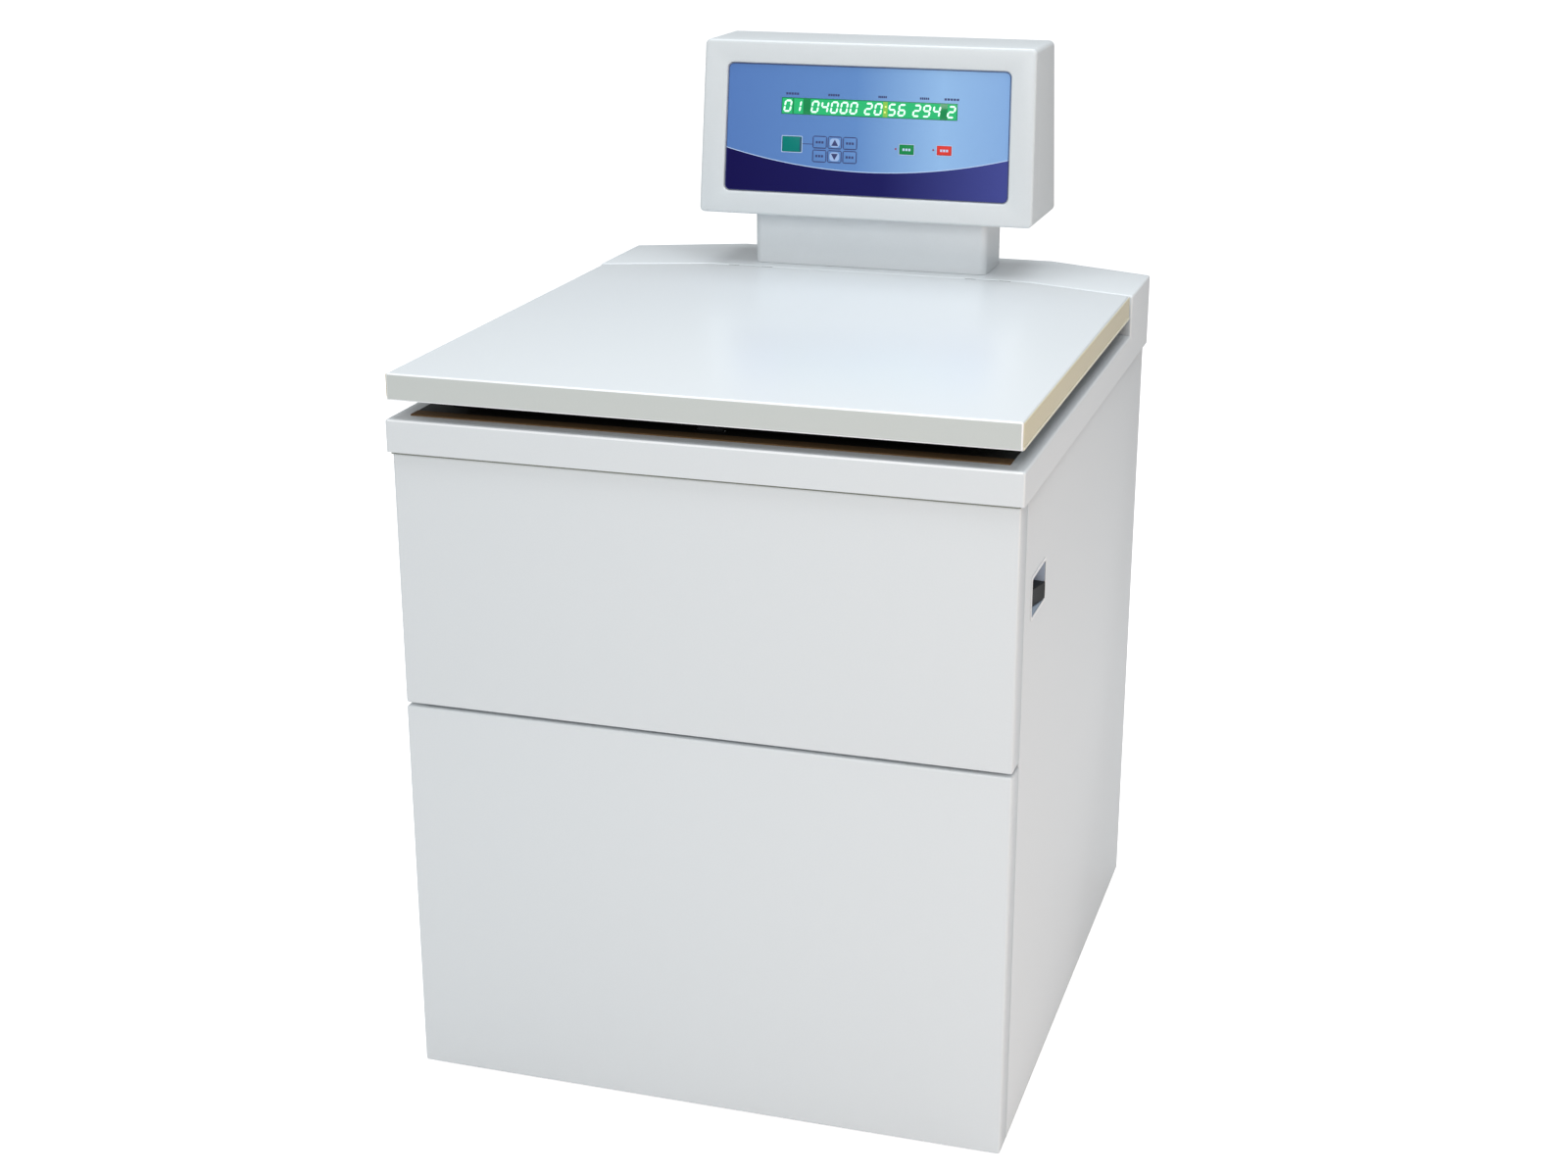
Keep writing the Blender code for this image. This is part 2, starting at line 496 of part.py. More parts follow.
def lid():
    skin = prism(LID_PLAN, LID_BOTTOM, DECK_TOP)
    round_edges(skin, LID_EDGE, lambda a, b: min(a.z, b.z) > DECK_TOP - 0.001)
    cut(skin, prism(inset(LID_PLAN, SHEET), LID_BOTTOM - 0.01, DECK_TOP - SHEET))
    slots = [box((side * HINGE_X - 0.0305, LID_BACK_Y - 0.006, LEAF_FOOT - GAP),
                 (side * HINGE_X + 0.0305, LID_BACK_Y + 0.01, LEAF_FOOT + 0.0063)) for side in (-1, 1)]
    finish(cut(skin, *slots), "lid_skin", WHITE, (0, HINGE_Y, HINGE_Z))

    plate = box((-0.312, -0.408, 0.8290), (0.312, 0.228, 0.8320))
    parts = []
    for side in (-1, 1):
        for inner, outer in ((-0.030, -0.0157), (0.0157, 0.030)):
            low, high = side * HINGE_X + inner, side * HINGE_X + outer
            parts.append(rod((low, HINGE_Y, HINGE_Z), (high, HINGE_Y, HINGE_Z), KNUCKLE_R, 16))
            parts.append(box((low, LID_BACK_Y + GAP, LEAF_FOOT), (high, LID_BACK_Y + 0.0013, HINGE_Z)))
            parts.append(box((low, 0.214, LEAF_FOOT), (high, LID_BACK_Y + 0.0013, LEAF_FOOT + 0.006)))
            parts.append(box((low, 0.215, 0.8300), (high, 0.226, LEAF_FOOT + 0.006)))
        inner, outer = sorted((side * 0.306, side * 0.312))
        y, z = STRUT_HIGH
        parts.append(box((inner, y - 0.011, 0.8300), (outer, y + 0.011, z + 0.007)))
        parts.append(rod((side * 0.308, y, z), (side * STRUT_STUD_END, y, z), 0.004, 12))
    striker = box((-0.014, STRIKER_Y - 0.0015, 0.7790), (0.014, STRIKER_Y + 0.0015, 0.8300))
    cut(striker, box((-0.008, STRIKER_Y - 0.01, 0.7830), (0.008, STRIKER_Y + 0.01, 0.7970)))
    frame = join(plate, *parts, striker)
    bores = [rod((side * HINGE_X - 0.035, HINGE_Y, HINGE_Z), (side * HINGE_X + 0.035, HINGE_Y, HINGE_Z), 0.0011, 16)
             for side in (-1, 1)]
    finish(cut(frame, *bores), "lid_frame", STEEL, (0, HINGE_Y, HINGE_Z))

    plug = box((-0.300, -0.3680, RIM_TOP + 0.0044), (0.300, 0.2130, 0.8290 - GAP))
    round_edges(plug, 0.004, lambda a, b: max(a.z, b.z) < RIM_TOP + 0.005, 1)
    cut(plug, box((-0.016, STRIKER_Y - 0.0055, RIM_TOP - 0.01), (0.016, STRIKER_Y + 0.005, LID_BOTTOM + 0.01)))
    finish(plug, "lid_liner", BLACK, (0, HINGE_Y, HINGE_Z))


def hinge_brackets():
    """The cabinet's halves of two butt hinges: a leaf on the deck's front wall, a knuckle and the pin."""
    for side, name in ((-1, "hinge_bracket_left"), (1, "hinge_bracket_right")):
        x = side * HINGE_X
        front, back = DECK_FRONT_Y - 0.0013, DECK_FRONT_Y - GAP
        leaf = box((x - 0.030, front, 0.8300), (x + 0.030, back, HINGE_Z - 0.0025))
        join(leaf, box((x - 0.015, front, 0.8400), (x + 0.015, back, HINGE_Z)),
             rod((x - 0.015, HINGE_Y, HINGE_Z), (x + 0.015, HINGE_Y, HINGE_Z), KNUCKLE_R, 16),
             rod((x - 0.0295, HINGE_Y, HINGE_Z), (x + 0.0295, HINGE_Y, HINGE_Z), PIN_R, 16))
        finish(leaf, name, STEEL)


def gas_springs():
    """One gas spring at each side of the chamber, from the drive frame up through a slot in the rim to the lid."""
    low, high = Vector(STRUT_LOW), Vector(STRUT_HIGH)
    along = (high - low).normalized()
    length = (high - low).length

    def at(side, distance):
        point = low + along * distance
        return (side * STRUT_X, point.x, point.y)

    for side, name in ((-1, "left"), (1, "right")):
        across = Vector((0.0038, 0, 0))
        foot, head = Vector(at(side, 0)), Vector(at(side, length))
        tube = rod(at(side, 0.006), at(side, 0.195), 0.010, 16)
        join(tube, rod(foot - across, foot + across, 0.009, 16))
        cut(tube, rod(foot - 3 * across, foot + 3 * across, 0.0046, 12), rod(at(side, 0.035), at(side, 0.20), 0.0047, 12))
        finish(tube, f"gas_cylinder_{name}", BLACK, foot, True)
        ram = rod(at(side, 0.045), at(side, length - 0.004), 0.004, 12)
        join(ram, rod(head - across, head + across, 0.007, 16))
        cut(ram, rod(head - 3 * across, head + 3 * across, 0.0046, 12))
        finish(ram, f"gas_rod_{name}", BLACK, head, True)


def lid_lock():
    """A motor lock under the rim: its hook stands released and turns back through the lid's striker."""
    shell = box((-0.030, LOCK_FRONT, LOCK_FOOT), (0.030, LOCK_REAR, LOCK_TOP))
    well = box((-0.028, LOCK_FRONT + 0.002, LOCK_FOOT + 0.002), (0.028, LOCK_REAR - 0.002, LOCK_TOP + 0.01))
    finish(cut(shell, well), "lock_housing", BLACK)
    pivot = (0, STRIKER_Y - 0.0195, 0.750)
    arm = box((-0.006, pivot[1] - 0.005, pivot[2]), (0.006, pivot[1] + 0.003, 0.793))
    nose = box((-0.006, pivot[1] - 0.001, 0.788), (0.006, STRIKER_Y - 0.0045, 0.793))
    boss = rod((-0.0275, *pivot[1:]), (0.0275, *pivot[1:]), 0.0058, 16)
    finish(join(arm, nose, boss), "lock_hook", STEEL, pivot)


# ---------------------------------------------------------------- console
def panel_point(u, v):
    """Centre of something on the membrane, u and v in metres from the membrane's left and top edges."""
    return (-PANEL_W / 2 + u, PANEL_Z + PANEL_H / 2 - v)


KEYS = {"mode_key": (*panel_point(0.0890, 0.0999), 0.0255, 0.0190, TEAL),
        "start_key": (*panel_point(0.2416, 0.1007), 0.0187, 0.0120, LEAF),
        "stop_key": (*panel_point(0.2908, 0.0999), 0.0187, 0.0115, RED)}
for row in range(2):
    for column in range(3):
        place = panel_point(0.1264 + 0.0202 * column, 0.0961 + 0.0175 * row)
        KEYS[f"set_key_{3 * row + column + 1}"] = (*place, 0.0165, 0.0135, BLUE)
WINDOW = (*panel_point(0.1899, 0.0517), 0.2325, 0.0205)


def on_console(point):
    """Where a point of the upright console lies once the front leans back and the sides draw in."""
    x, y, z = point
    rise = (z - (CONSOLE_LOW + CONSOLE_HIGH) / 2) / (CONSOLE_HIGH - CONSOLE_LOW)
    lean = FRONT_LEAN if y < CONSOLE_SPLIT - 0.015 else REAR_LEAN if y > CONSOLE_BACK - 0.012 else 0
    return (x * (1 - CONSOLE_TAPER * rise / CONSOLE_X) + CONSOLE_SHIFT, y + lean * rise, z)


def place_on_console(obj, name, mat, pivot=(0.0, 0.0, 0.0)):
    for vertex in obj.data.vertices:
        vertex.co = on_console(vertex.co)
    finish(obj, name, mat, pivot)


def console():
    middle_z, half_z = (CONSOLE_LOW + CONSOLE_HIGH) / 2, (CONSOLE_HIGH - CONSOLE_LOW) / 2
    outline = rounded(CONSOLE_X, half_z, 0.009, (0, middle_z))
    hollow = rounded(CONSOLE_X - 0.003, half_z - 0.003, 0.006, (0, middle_z))
    bezel = prism(outline, CONSOLE_FRONT, CONSOLE_SPLIT, "y")
    round_edges(bezel, 0.004, lambda a, b: max(a.y, b.y) < CONSOLE_FRONT + 0.001)
    recess = prism(rounded(PANEL_W / 2 + 0.001, PANEL_H / 2 + 0.001, 0.008, (0, PANEL_Z)),
                   CONSOLE_FRONT - 0.01, FACE_Y + 0.002, "y")
    place_on_console(cut(bezel, recess, prism(hollow, FACE_Y + 0.006, CONSOLE_SPLIT + 0.01, "y")),
                     "console_bezel", WHITE)
    shell = prism(outline, CONSOLE_SPLIT + GAP, CONSOLE_BACK, "y")
    round_edges(shell, 0.006, lambda a, b: min(a.y, b.y) > CONSOLE_BACK - 0.001)
    cut(shell, prism(hollow, CONSOLE_SPLIT - 0.01, CONSOLE_BACK - 0.003, "y"))
    place_on_console(shell, "console_rear_shell", WHITE)

    membrane = prism(rounded(PANEL_W / 2, PANEL_H / 2, 0.007, (0, PANEL_Z)), FACE_Y, FACE_Y + 0.0017, "y")
    holes = []
    for x, z, wide, high in [key[:4] for key in KEYS.values()] + [WINDOW]:
        low = (x - wide / 2 - GAP, FACE_Y - 0.01, z - high / 2 - GAP)
        holes.append(box(low, (x + wide / 2 + GAP, FACE_Y + 0.01, z + high / 2 + GAP)))
    place_on_console(cut(membrane, *holes), "membrane_panel", BLUE)
    for name, (x, z, wide, high, mat) in KEYS.items():
        key = box((x - wide / 2, FACE_Y - 0.0004, z - high / 2), (x + wide / 2, FACE_Y + 0.0011, z + high / 2))
        place_on_console(key, name, mat, on_console((x, FACE_Y, z)))
    x, z, wide, high = WINDOW
    window = box((x - wide / 2, FACE_Y - 0.0001, z - high / 2), (x + wide / 2, FACE_Y + 0.0016, z + high / 2))
    place_on_console(window, "display_window", GREEN)


def pedestal():
    middle = (CONSOLE_SHIFT, 0.3405)
    post = prism(rounded(0.1567, 0.045, 0.008, middle), DECK_TOP + GAP, CONSOLE_LOW - GAP)
    well = prism(rounded(0.1537, 0.042, 0.005, middle), DECK_TOP - 0.01, CONSOLE_LOW - 0.004)
    finish(cut(post, well), "pedestal", WHITE)


base_tray()
feet()
drive_frame()
side_panels()
front_panels()
rear_panel()
top_cover()
chamber()
evaporator_coil()
drive()
rotor_head()
buckets()
cooling()
electrics()
main_switch()
lid()
hinge_brackets()
gas_springs()
lid_lock()
console()
pedestal()
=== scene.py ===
"""A floor-standing laboratory centrifuge, finished as it is put together: tray and feet, cabinet, cover,
chamber and drive, lid, console. Metres, floor at z = 0, front towards -Y."""

from math import cos, pi, radians, sin

import bmesh
import bpy
from mathutils import Matrix, Vector


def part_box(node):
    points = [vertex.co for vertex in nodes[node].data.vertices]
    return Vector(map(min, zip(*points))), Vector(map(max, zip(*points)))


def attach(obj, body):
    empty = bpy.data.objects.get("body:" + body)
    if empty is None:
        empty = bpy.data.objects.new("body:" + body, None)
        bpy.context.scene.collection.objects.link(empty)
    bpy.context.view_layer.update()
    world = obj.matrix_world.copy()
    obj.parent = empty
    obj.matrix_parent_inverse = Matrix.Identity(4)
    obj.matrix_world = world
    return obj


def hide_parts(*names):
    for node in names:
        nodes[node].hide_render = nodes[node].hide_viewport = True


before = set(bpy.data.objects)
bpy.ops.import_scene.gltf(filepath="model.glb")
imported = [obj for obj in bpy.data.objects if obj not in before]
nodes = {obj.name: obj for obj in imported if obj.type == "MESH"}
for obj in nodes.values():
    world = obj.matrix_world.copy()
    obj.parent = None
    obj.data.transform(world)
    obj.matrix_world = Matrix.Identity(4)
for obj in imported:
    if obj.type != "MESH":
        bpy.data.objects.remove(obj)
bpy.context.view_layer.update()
scene = bpy.context.scene

# ------------------------------------------------------------------ studio
# A plain white sweep under broad soft boxes: one overhead, one large in front, a faint warm one low at the
# right. Floor and sky look brighter to the lens than the light they give. The camera stands at the front
# right, a little above the console, with a short telephoto lens.
camera = bpy.data.objects.new("camera", bpy.data.cameras.new("camera"))
camera.location = (0.7968, -2.6590, 1.4570)
camera.rotation_euler = (radians(71.15), 0, radians(17.27))
camera.data.lens, camera.data.sensor_width = 54.03, 36
camera.data.clip_end = 60
scene.collection.objects.link(camera)
scene.camera = camera
scene.view_settings.view_transform = "Standard"


def shader(name):
    """A new material and its Principled shader."""
    mat = bpy.data.materials.new(name)
    mat.use_nodes = True
    return mat, mat.node_tree.nodes["Principled BSDF"]


def node(mat, kind, **settings):
    """A shader node with its settings and, by socket name, its inputs."""
    made = mat.node_tree.nodes.new(kind)
    for key, value in settings.items():
        if hasattr(made, key):
            setattr(made, key, value)
        else:
            made.inputs[key.replace("_", " ")].default_value = value
    return made


def wire(mat, source, socket, target, name):
    mat.node_tree.links.new(source.outputs[socket], target.inputs[name])


def grain(mat, pbr, colour, scale, spread, rough, rough_spread, bump, stretch=(1, 1, 1), detail=3):
    """Object-space noise that varies the colour and the roughness and raises a fine relief."""
    place = node(mat, "ShaderNodeTexCoord")
    spin = node(mat, "ShaderNodeMapping", Scale=stretch)
    noise = node(mat, "ShaderNodeTexNoise", Scale=scale, Detail=detail)
    wire(mat, place, "Object", spin, "Vector")
    wire(mat, spin, "Vector", noise, "Vector")
    tint = node(mat, "ShaderNodeValToRGB")
    tint.color_ramp.elements[0].position, tint.color_ramp.elements[1].position = 0.3, 0.7
    tint.color_ramp.elements[0].color = (*[c * (1 - spread) for c in colour], 1)
    tint.color_ramp.elements[1].color = (*[min(c * (1 + spread), 1) for c in colour], 1)
    wire(mat, noise, "Fac", tint, "Fac")
    wire(mat, tint, "Color", pbr, "Base Color")
    gloss = node(mat, "ShaderNodeMapRange")
    gloss.inputs["To Min"].default_value = rough - rough_spread
    gloss.inputs["To Max"].default_value = rough + rough_spread
    wire(mat, noise, "Fac", gloss, "Value")
    wire(mat, gloss, "Result", pbr, "Roughness")
    relief = node(mat, "ShaderNodeBump", Strength=0.5, Distance=bump)
    wire(mat, noise, "Fac", relief, "Height")
    wire(mat, relief, "Normal", pbr, "Normal")
    return noise


floor_mat, floor_pbr = shader("studio_floor")
floor_pbr.inputs["Base Color"].default_value = (0.85, 0.85, 0.85, 1)
floor_pbr.inputs["Roughness"].default_value = 0.9
floor_pbr.inputs["Specular IOR Level"].default_value = 0.1
floor_pbr.inputs["Emission Color"].default_value = (1, 1, 1, 1)
floor_ray = floor_mat.node_tree.nodes.new("ShaderNodeLightPath")
floor_view = node(floor_mat, "ShaderNodeMapRange")
floor_view.inputs["To Min"].default_value, floor_view.inputs["To Max"].default_value = 0.06, 0.80
wire(floor_mat, floor_ray, "Is Camera Ray", floor_view, "Value")
wire(floor_mat, floor_view, "Result", floor_pbr, "Emission Strength")
floor_mesh = bpy.data.meshes.new("floor")
floor_mesh.from_pydata([(-40, -40, 0), (40, -40, 0), (40, 40, 0), (-40, 40, 0)], [], [(0, 1, 2, 3)])
floor = bpy.data.objects.new("floor", floor_mesh)
floor.data.materials.append(floor_mat)
scene.collection.objects.link(floor)

world = bpy.data.worlds.new("studio")
world.use_nodes = True
sky_light = world.node_tree.nodes["Background"]
sky_light.inputs["Color"].default_value = (0.96, 0.985, 1.0, 1)
sky_view = world.node_tree.nodes.new("ShaderNodeMapRange")
sky_view.inputs["To Min"].default_value, sky_view.inputs["To Max"].default_value = 0.40, 1.15
sky_ray = world.node_tree.nodes.new("ShaderNodeLightPath")
world.node_tree.links.new(sky_ray.outputs["Is Camera Ray"], sky_view.inputs["Value"])
world.node_tree.links.new(sky_view.outputs["Result"], sky_light.inputs["Strength"])
scene.world = world


def soft_box(name, place, aim, size, power, colour):
    lamp = bpy.data.lights.new(name, "AREA")
    lamp.shape, lamp.size, lamp.size_y, lamp.energy, lamp.color = "RECTANGLE", *size, power, colour
    holder = bpy.data.objects.new(name, lamp)
    holder.location = place
    holder.rotation_euler = (Vector(aim) - Vector(place)).to_track_quat("-Z", "Y").to_euler()
    scene.collection.objects.link(holder)


soft_box("overhead", (0.2, 0.0, 3.6), (0, 0, 0.8), (3.2, 2.8), 78, (0.93, 0.97, 1.0))
soft_box("front", (0.3, -3.9, 2.7), (0, 0, 0.7), (2.6, 1.8), 55, (1.0, 1.0, 0.99))
soft_box("low_right", (3.0, -1.6, 0.35), (0, 0, 0.1), (1.6, 0.6), 15, (1.0, 0.66, 0.46))


# ------------------------------------------------------------------ base tray and feet
# A folded, zinc-plated steel tray carries the whole machine. Four rubber-padded levelling feet screw
# into it, each held by a hex lock nut; the cabinet's panels hang 12 mm clear of the floor.
def metal(name, colour, rough, scale=160, stretch=(1, 1, 1), spread=0.06, bump=0.00004, aniso=0.0):
    mat, pbr = shader(name)
    pbr.inputs["Metallic"].default_value = 1.0
    pbr.inputs["Anisotropic"].default_value = aniso
    grain(mat, pbr, colour, scale, spread, rough, 0.06, bump, stretch)
    return mat


def moulded(name, colour, rough, scale=900, spread=0.05, bump=0.00008, coat=0.0, specular=0.5):
    mat, pbr = shader(name)
    pbr.inputs["Specular IOR Level"].default_value = specular
    pbr.inputs["Coat Weight"].default_value = coat
    pbr.inputs["Coat Roughness"].default_value = 0.08
    grain(mat, pbr, colour, scale, spread, rough, 0.05, bump)
    return mat


zinc = metal("zinc_plate", (0.60, 0.61, 0.62), 0.36)
steel_bright = metal("bright_steel", (0.66, 0.66, 0.65), 0.24, 240)
rubber = moulded("rubber", (0.028, 0.027, 0.026), 0.72, 500, 0.15, 0.00015)
zinc_slot, rubber_slot = "zinc_plate", "black_rubber"


def dress(name, mat, edge=0.0005, segments=2, angle=32):
    """A CAD solid with its facets merged, a fine radius on its edges, and a finish."""
    obj = nodes[name]
    obj.data.materials.clear()
    obj.data.materials.append(mat)
    weld = obj.modifiers.new("weld", "WELD")
    weld.merge_threshold = 0.00001
    flat = obj.modifiers.new("flat", "DECIMATE")
    flat.decimate_type, flat.angle_limit = "DISSOLVE", radians(0.5)
    if edge:
        bevel = obj.modifiers.new("edges", "BEVEL")
        bevel.width, bevel.segments, bevel.limit_method = edge, segments, "ANGLE"
        bevel.angle_limit, bevel.harden_normals = radians(angle), True
    for face in obj.data.polygons:
        face.use_smooth = True
    smooth = obj.modifiers.new("normals", "WEIGHTED_NORMAL")
    smooth.keep_sharp, smooth.weight = False, 100
    return obj


def piece(name, bm, mat, body, slot, replaces=(), angle=32, recalc=True):
    """A new mesh that rides on a body: named, finished, shaded smooth up to the given angle."""
    if recalc:
        bmesh.ops.recalc_face_normals(bm, faces=bm.faces)
    mesh = bpy.data.meshes.new(name)
    bm.to_mesh(mesh)
    bm.free()
    made = bpy.data.objects.new(name, mesh)
    for one in mat if isinstance(mat, (list, tuple)) else (mat,):
        mesh.materials.append(one)
    scene.collection.objects.link(made)
    mesh.shade_smooth()
    mesh.set_sharp_from_angle(angle=radians(angle))
    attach(made, body)
    if replaces:
        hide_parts(*replaces)
    return made


def add_turned(bm, profile, place=Matrix.Identity(4), sides=32, hexes=()):
    """Turns (radius, height) points about the local Z axis; rings listed in hexes are six-sided."""
    rings = []
    for i, (r, h) in enumerate(profile):
        if r == 0:
            rings.append([bm.verts.new(place @ Vector((0, 0, h)))] * sides)
            continue
        ring = []
        for k in range(sides):
            a = 2 * pi * k / sides
            reach = r / cos((a + pi / 6) % (pi / 3) - pi / 6) if i in hexes else r
            ring.append(bm.verts.new(place @ Vector((reach * cos(a), reach * sin(a), h))))
        rings.append(ring)
    closed = profile[0][0] > 0 and profile[-1][0] > 0
    for i in range(len(rings) if closed else len(rings) - 1):
        a, b = rings[i], rings[(i + 1) % len(rings)]
        for k in range(sides):
            m = (k + 1) % sides
            corners = list(dict.fromkeys((a[k], a[m], b[m], b[k])))
            if len(corners) > 2:
                bm.faces.new(corners)


def stand(point, direction=(0, 0, 1)):
    """A place whose local Z points along the direction."""
    return Matrix.Translation(point) @ Vector(direction).to_track_quat("Z", "Y").to_matrix().to_4x4()


dress("base_tray", zinc, 0.0006)
nut_mesh = bmesh.new()
for end in ("front", "rear"):
    for side in ("left", "right"):
        foot = nodes[f"foot_{end}_{side}"]
        dress(foot.name, rubber, 0.0008)
        low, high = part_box(foot.name)
        centre = (low + high) / 2
        top = high.z
        hex_nut = [(0.0065, top - 0.0005), (0.0100, top - 0.0005), (0.0105, top - 0.0012),
                   (0.0105, top - 0.0062), (0.0100, top - 0.0070), (0.0065, top - 0.0070)]
        add_turned(nut_mesh, hex_nut, Matrix.Translation((centre.x, centre.y, 0)), 24, hexes=(2, 3))
piece("foot_lock_nuts", nut_mesh, zinc, "cabinet", zinc_slot)

# ------------------------------------------------------------------ drive frame
# A shelf of thick plate on four square legs, welded and plated. The motor, the guard ring and the lower
# ends of the lid's gas springs are fixed to it.
dress("drive_frame", zinc, 0.0008)


# ------------------------------------------------------------------ cabinet panels
# Pans of 1.5 mm sheet, folded on all sides and sprayed with a thick white enamel that leaves a faint
# orange peel. The two front pans wrap 34 mm round the corners; a dark shadow gap parts them.
def enamel(name, colour, rough=0.30):
    mat, pbr = shader(name)
    pbr.inputs["Coat Weight"].default_value = 0.12
    pbr.inputs["Coat Roughness"].default_value = 0.18
    pbr.inputs["IOR"].default_value = 1.5
    grain(mat, pbr, colour, 520, 0.006, rough, 0.03, 0.00006, detail=1)
    return mat


white = enamel("white_enamel", (0.735, 0.765, 0.785))
white_slot = "white_enamel"
FOLD = 0.0028
SHEET = 0.0015


def solid_box(low, high):
    bm = bmesh.new()
    bmesh.ops.create_cube(bm, size=1)
    for v in bm.verts:
        v.co = Vector([low[i] if v.co[i] < 0 else high[i] for i in range(3)])
    return bm


def bevel_edges(bm, radius, chosen, segments=4):
    edges = [e for e in bm.edges if chosen(*(v.co for v in e.verts))]
    bmesh.ops.bevel(bm, geom=edges, offset=radius, segments=segments, profile=0.5, affect="EDGES")


def thicken(obj, thickness):
    shell = obj.modifiers.new("sheet", "SOLIDIFY")
    shell.thickness, shell.offset, shell.use_even_offset = thickness, -1, True
    return obj


def open_pan(low, high, open_side, radius=FOLD):
    """A folded pan: a box without the face that looks along open_side, its folds rounded."""
    bm = solid_box(low, high)
    out = Vector(open_side)
    bmesh.ops.recalc_face_normals(bm, faces=bm.faces)
    bmesh.ops.delete(bm, geom=[f for f in bm.faces if f.normal.dot(out) > 0.9], context="FACES_ONLY")
    edges = [e for e in bm.edges if len(e.link_faces) == 2]
    bmesh.ops.bevel(bm, geom=edges, offset=radius, segments=4, profile=0.5, affect="EDGES")
    return bm


def cutter(bm):
    """A hidden solid for a Boolean."""
    bmesh.ops.recalc_face_normals(bm, faces=bm.faces)
    mesh = bpy.data.meshes.new("cutter")
    bm.to_mesh(mesh)
    bm.free()
    made = bpy.data.objects.new("cutter", mesh)
    scene.collection.objects.link(made)
    return made


def carve(obj, bm, operation="DIFFERENCE"):
    """Cuts a solid from a piece, or joins it, and keeps only the result."""
    tool = cutter(bm)
    boolean = obj.modifiers.new("carve", "BOOLEAN")
    boolean.operation, boolean.object, boolean.solver = operation, tool, "EXACT"
    bpy.context.view_layer.update()
    mesh = bpy.data.meshes.new_from_object(obj.evaluated_get(bpy.context.evaluated_depsgraph_get()))
    obj.modifiers.clear()
    obj.data = mesh
    bpy.data.objects.remove(tool, do_unlink=True)
    return obj


def prism(outline, low, high, axis="z"):
    """A solid pushed along an axis from an outline in the other two, taken in X, Y, Z order."""
    turns = {"x": lambda u, v, w: (w, u, v),
             "y": lambda u, v, w: (u, w, v),
             "z": lambda u, v, w: (u, v, w)}
    turn = turns[axis]
    bm = bmesh.new()
    foot = [bm.verts.new(turn(u, v, low)) for u, v in outline]
    head = [bm.verts.new(turn(u, v, high)) for u, v in outline]
    bm.faces.new(foot)
    bm.faces.new(head)
    for i in range(len(outline)):
        j = (i + 1) % len(outline)
        bm.faces.new((foot[i], foot[j], head[j], head[i]))
    bmesh.ops.recalc_face_normals(bm, faces=bm.faces)
    return bm


def rounded(half_u, half_v, radius, centre=(0.0, 0.0), steps=8):
    """A rectangle's outline with round corners, anticlockwise."""
    points = []
    for quarter in range(4):
        su = 1 if quarter in (0, 3) else -1
        sv = 1 if quarter in (0, 1) else -1
        for k in range(steps + 1):
            a = pi / 2 * (quarter + k / steps)
            points.append((centre[0] + su * (half_u - radius) + radius * cos(a),
                           centre[1] + sv * (half_v - radius) + radius * sin(a)))
    return points


def reshade(obj, angle=32):
    obj.data.shade_smooth()
    obj.data.set_sharp_from_angle(angle=radians(angle))
    return obj


for part_name in ("upper_front_panel", "lower_front_panel"):
    low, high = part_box(part_name)
    front = piece(part_name.replace("panel", "pan"), open_pan(low, high, (0, 1, 0)), white,
                  "cabinet", white_slot, (part_name,))
    thicken(front, SHEET)

switch_low, switch_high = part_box("switch_recess")
switch_y, switch_z = (switch_low.y + switch_high.y) / 2, (switch_low.z + switch_high.z) / 2
switch_half_y, switch_half_z = (switch_high.y - switch_low.y) / 2, (switch_high.z - switch_low.z) / 2
SIDE_FOLD = 0.0020
for side, part_name in ((-1, "left_side_panel"), (1, "right_side_panel")):
    low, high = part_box(part_name)
    pan = piece(part_name.replace("panel", "pan"), open_pan(low, high, (-side, 0, 0), SIDE_FOLD), white,
                "cabinet", white_slot, (part_name,))
    thicken(pan, SHEET)
    if side == 1:
        window = rounded(switch_half_y + 0.0004, switch_half_z + 0.0004, 0.005, (switch_y, switch_z))
        carve(pan, prism(window, high.x - 0.01, high.x + 0.01, "x"))
        reshade(pan)

# ------------------------------------------------------------------ rear panel and power inlet
# One folded sheet with a slotted vent over the condenser and a window for the supply inlet. Pan-head
# screws with a hex socket hold it along both wings and round the inlet.
dress("rear_panel", white, 0.0004)
black = moulded("black_plastic", (0.022, 0.022, 0.023), 0.42)
black_slot = "black_plastic"
dress("power_inlet", black, 0.0006)


def add_screw(bm, point, direction, radius=0.0045):
    """A button head with a hex socket, sitting on the surface at the point."""
    r = radius
    profile = [(0, 0.10 * r), (0.45 * r, 0.10 * r), (0.50 * r, 0.62 * r), (0.62 * r, 0.62 * r),
               (0.88 * r, 0.42 * r), (r, 0.10 * r), (r, -0.2 * r), (0, -0.2 * r)]
    add_turned(bm, profile, stand(point, direction), 24, hexes=(1, 2))


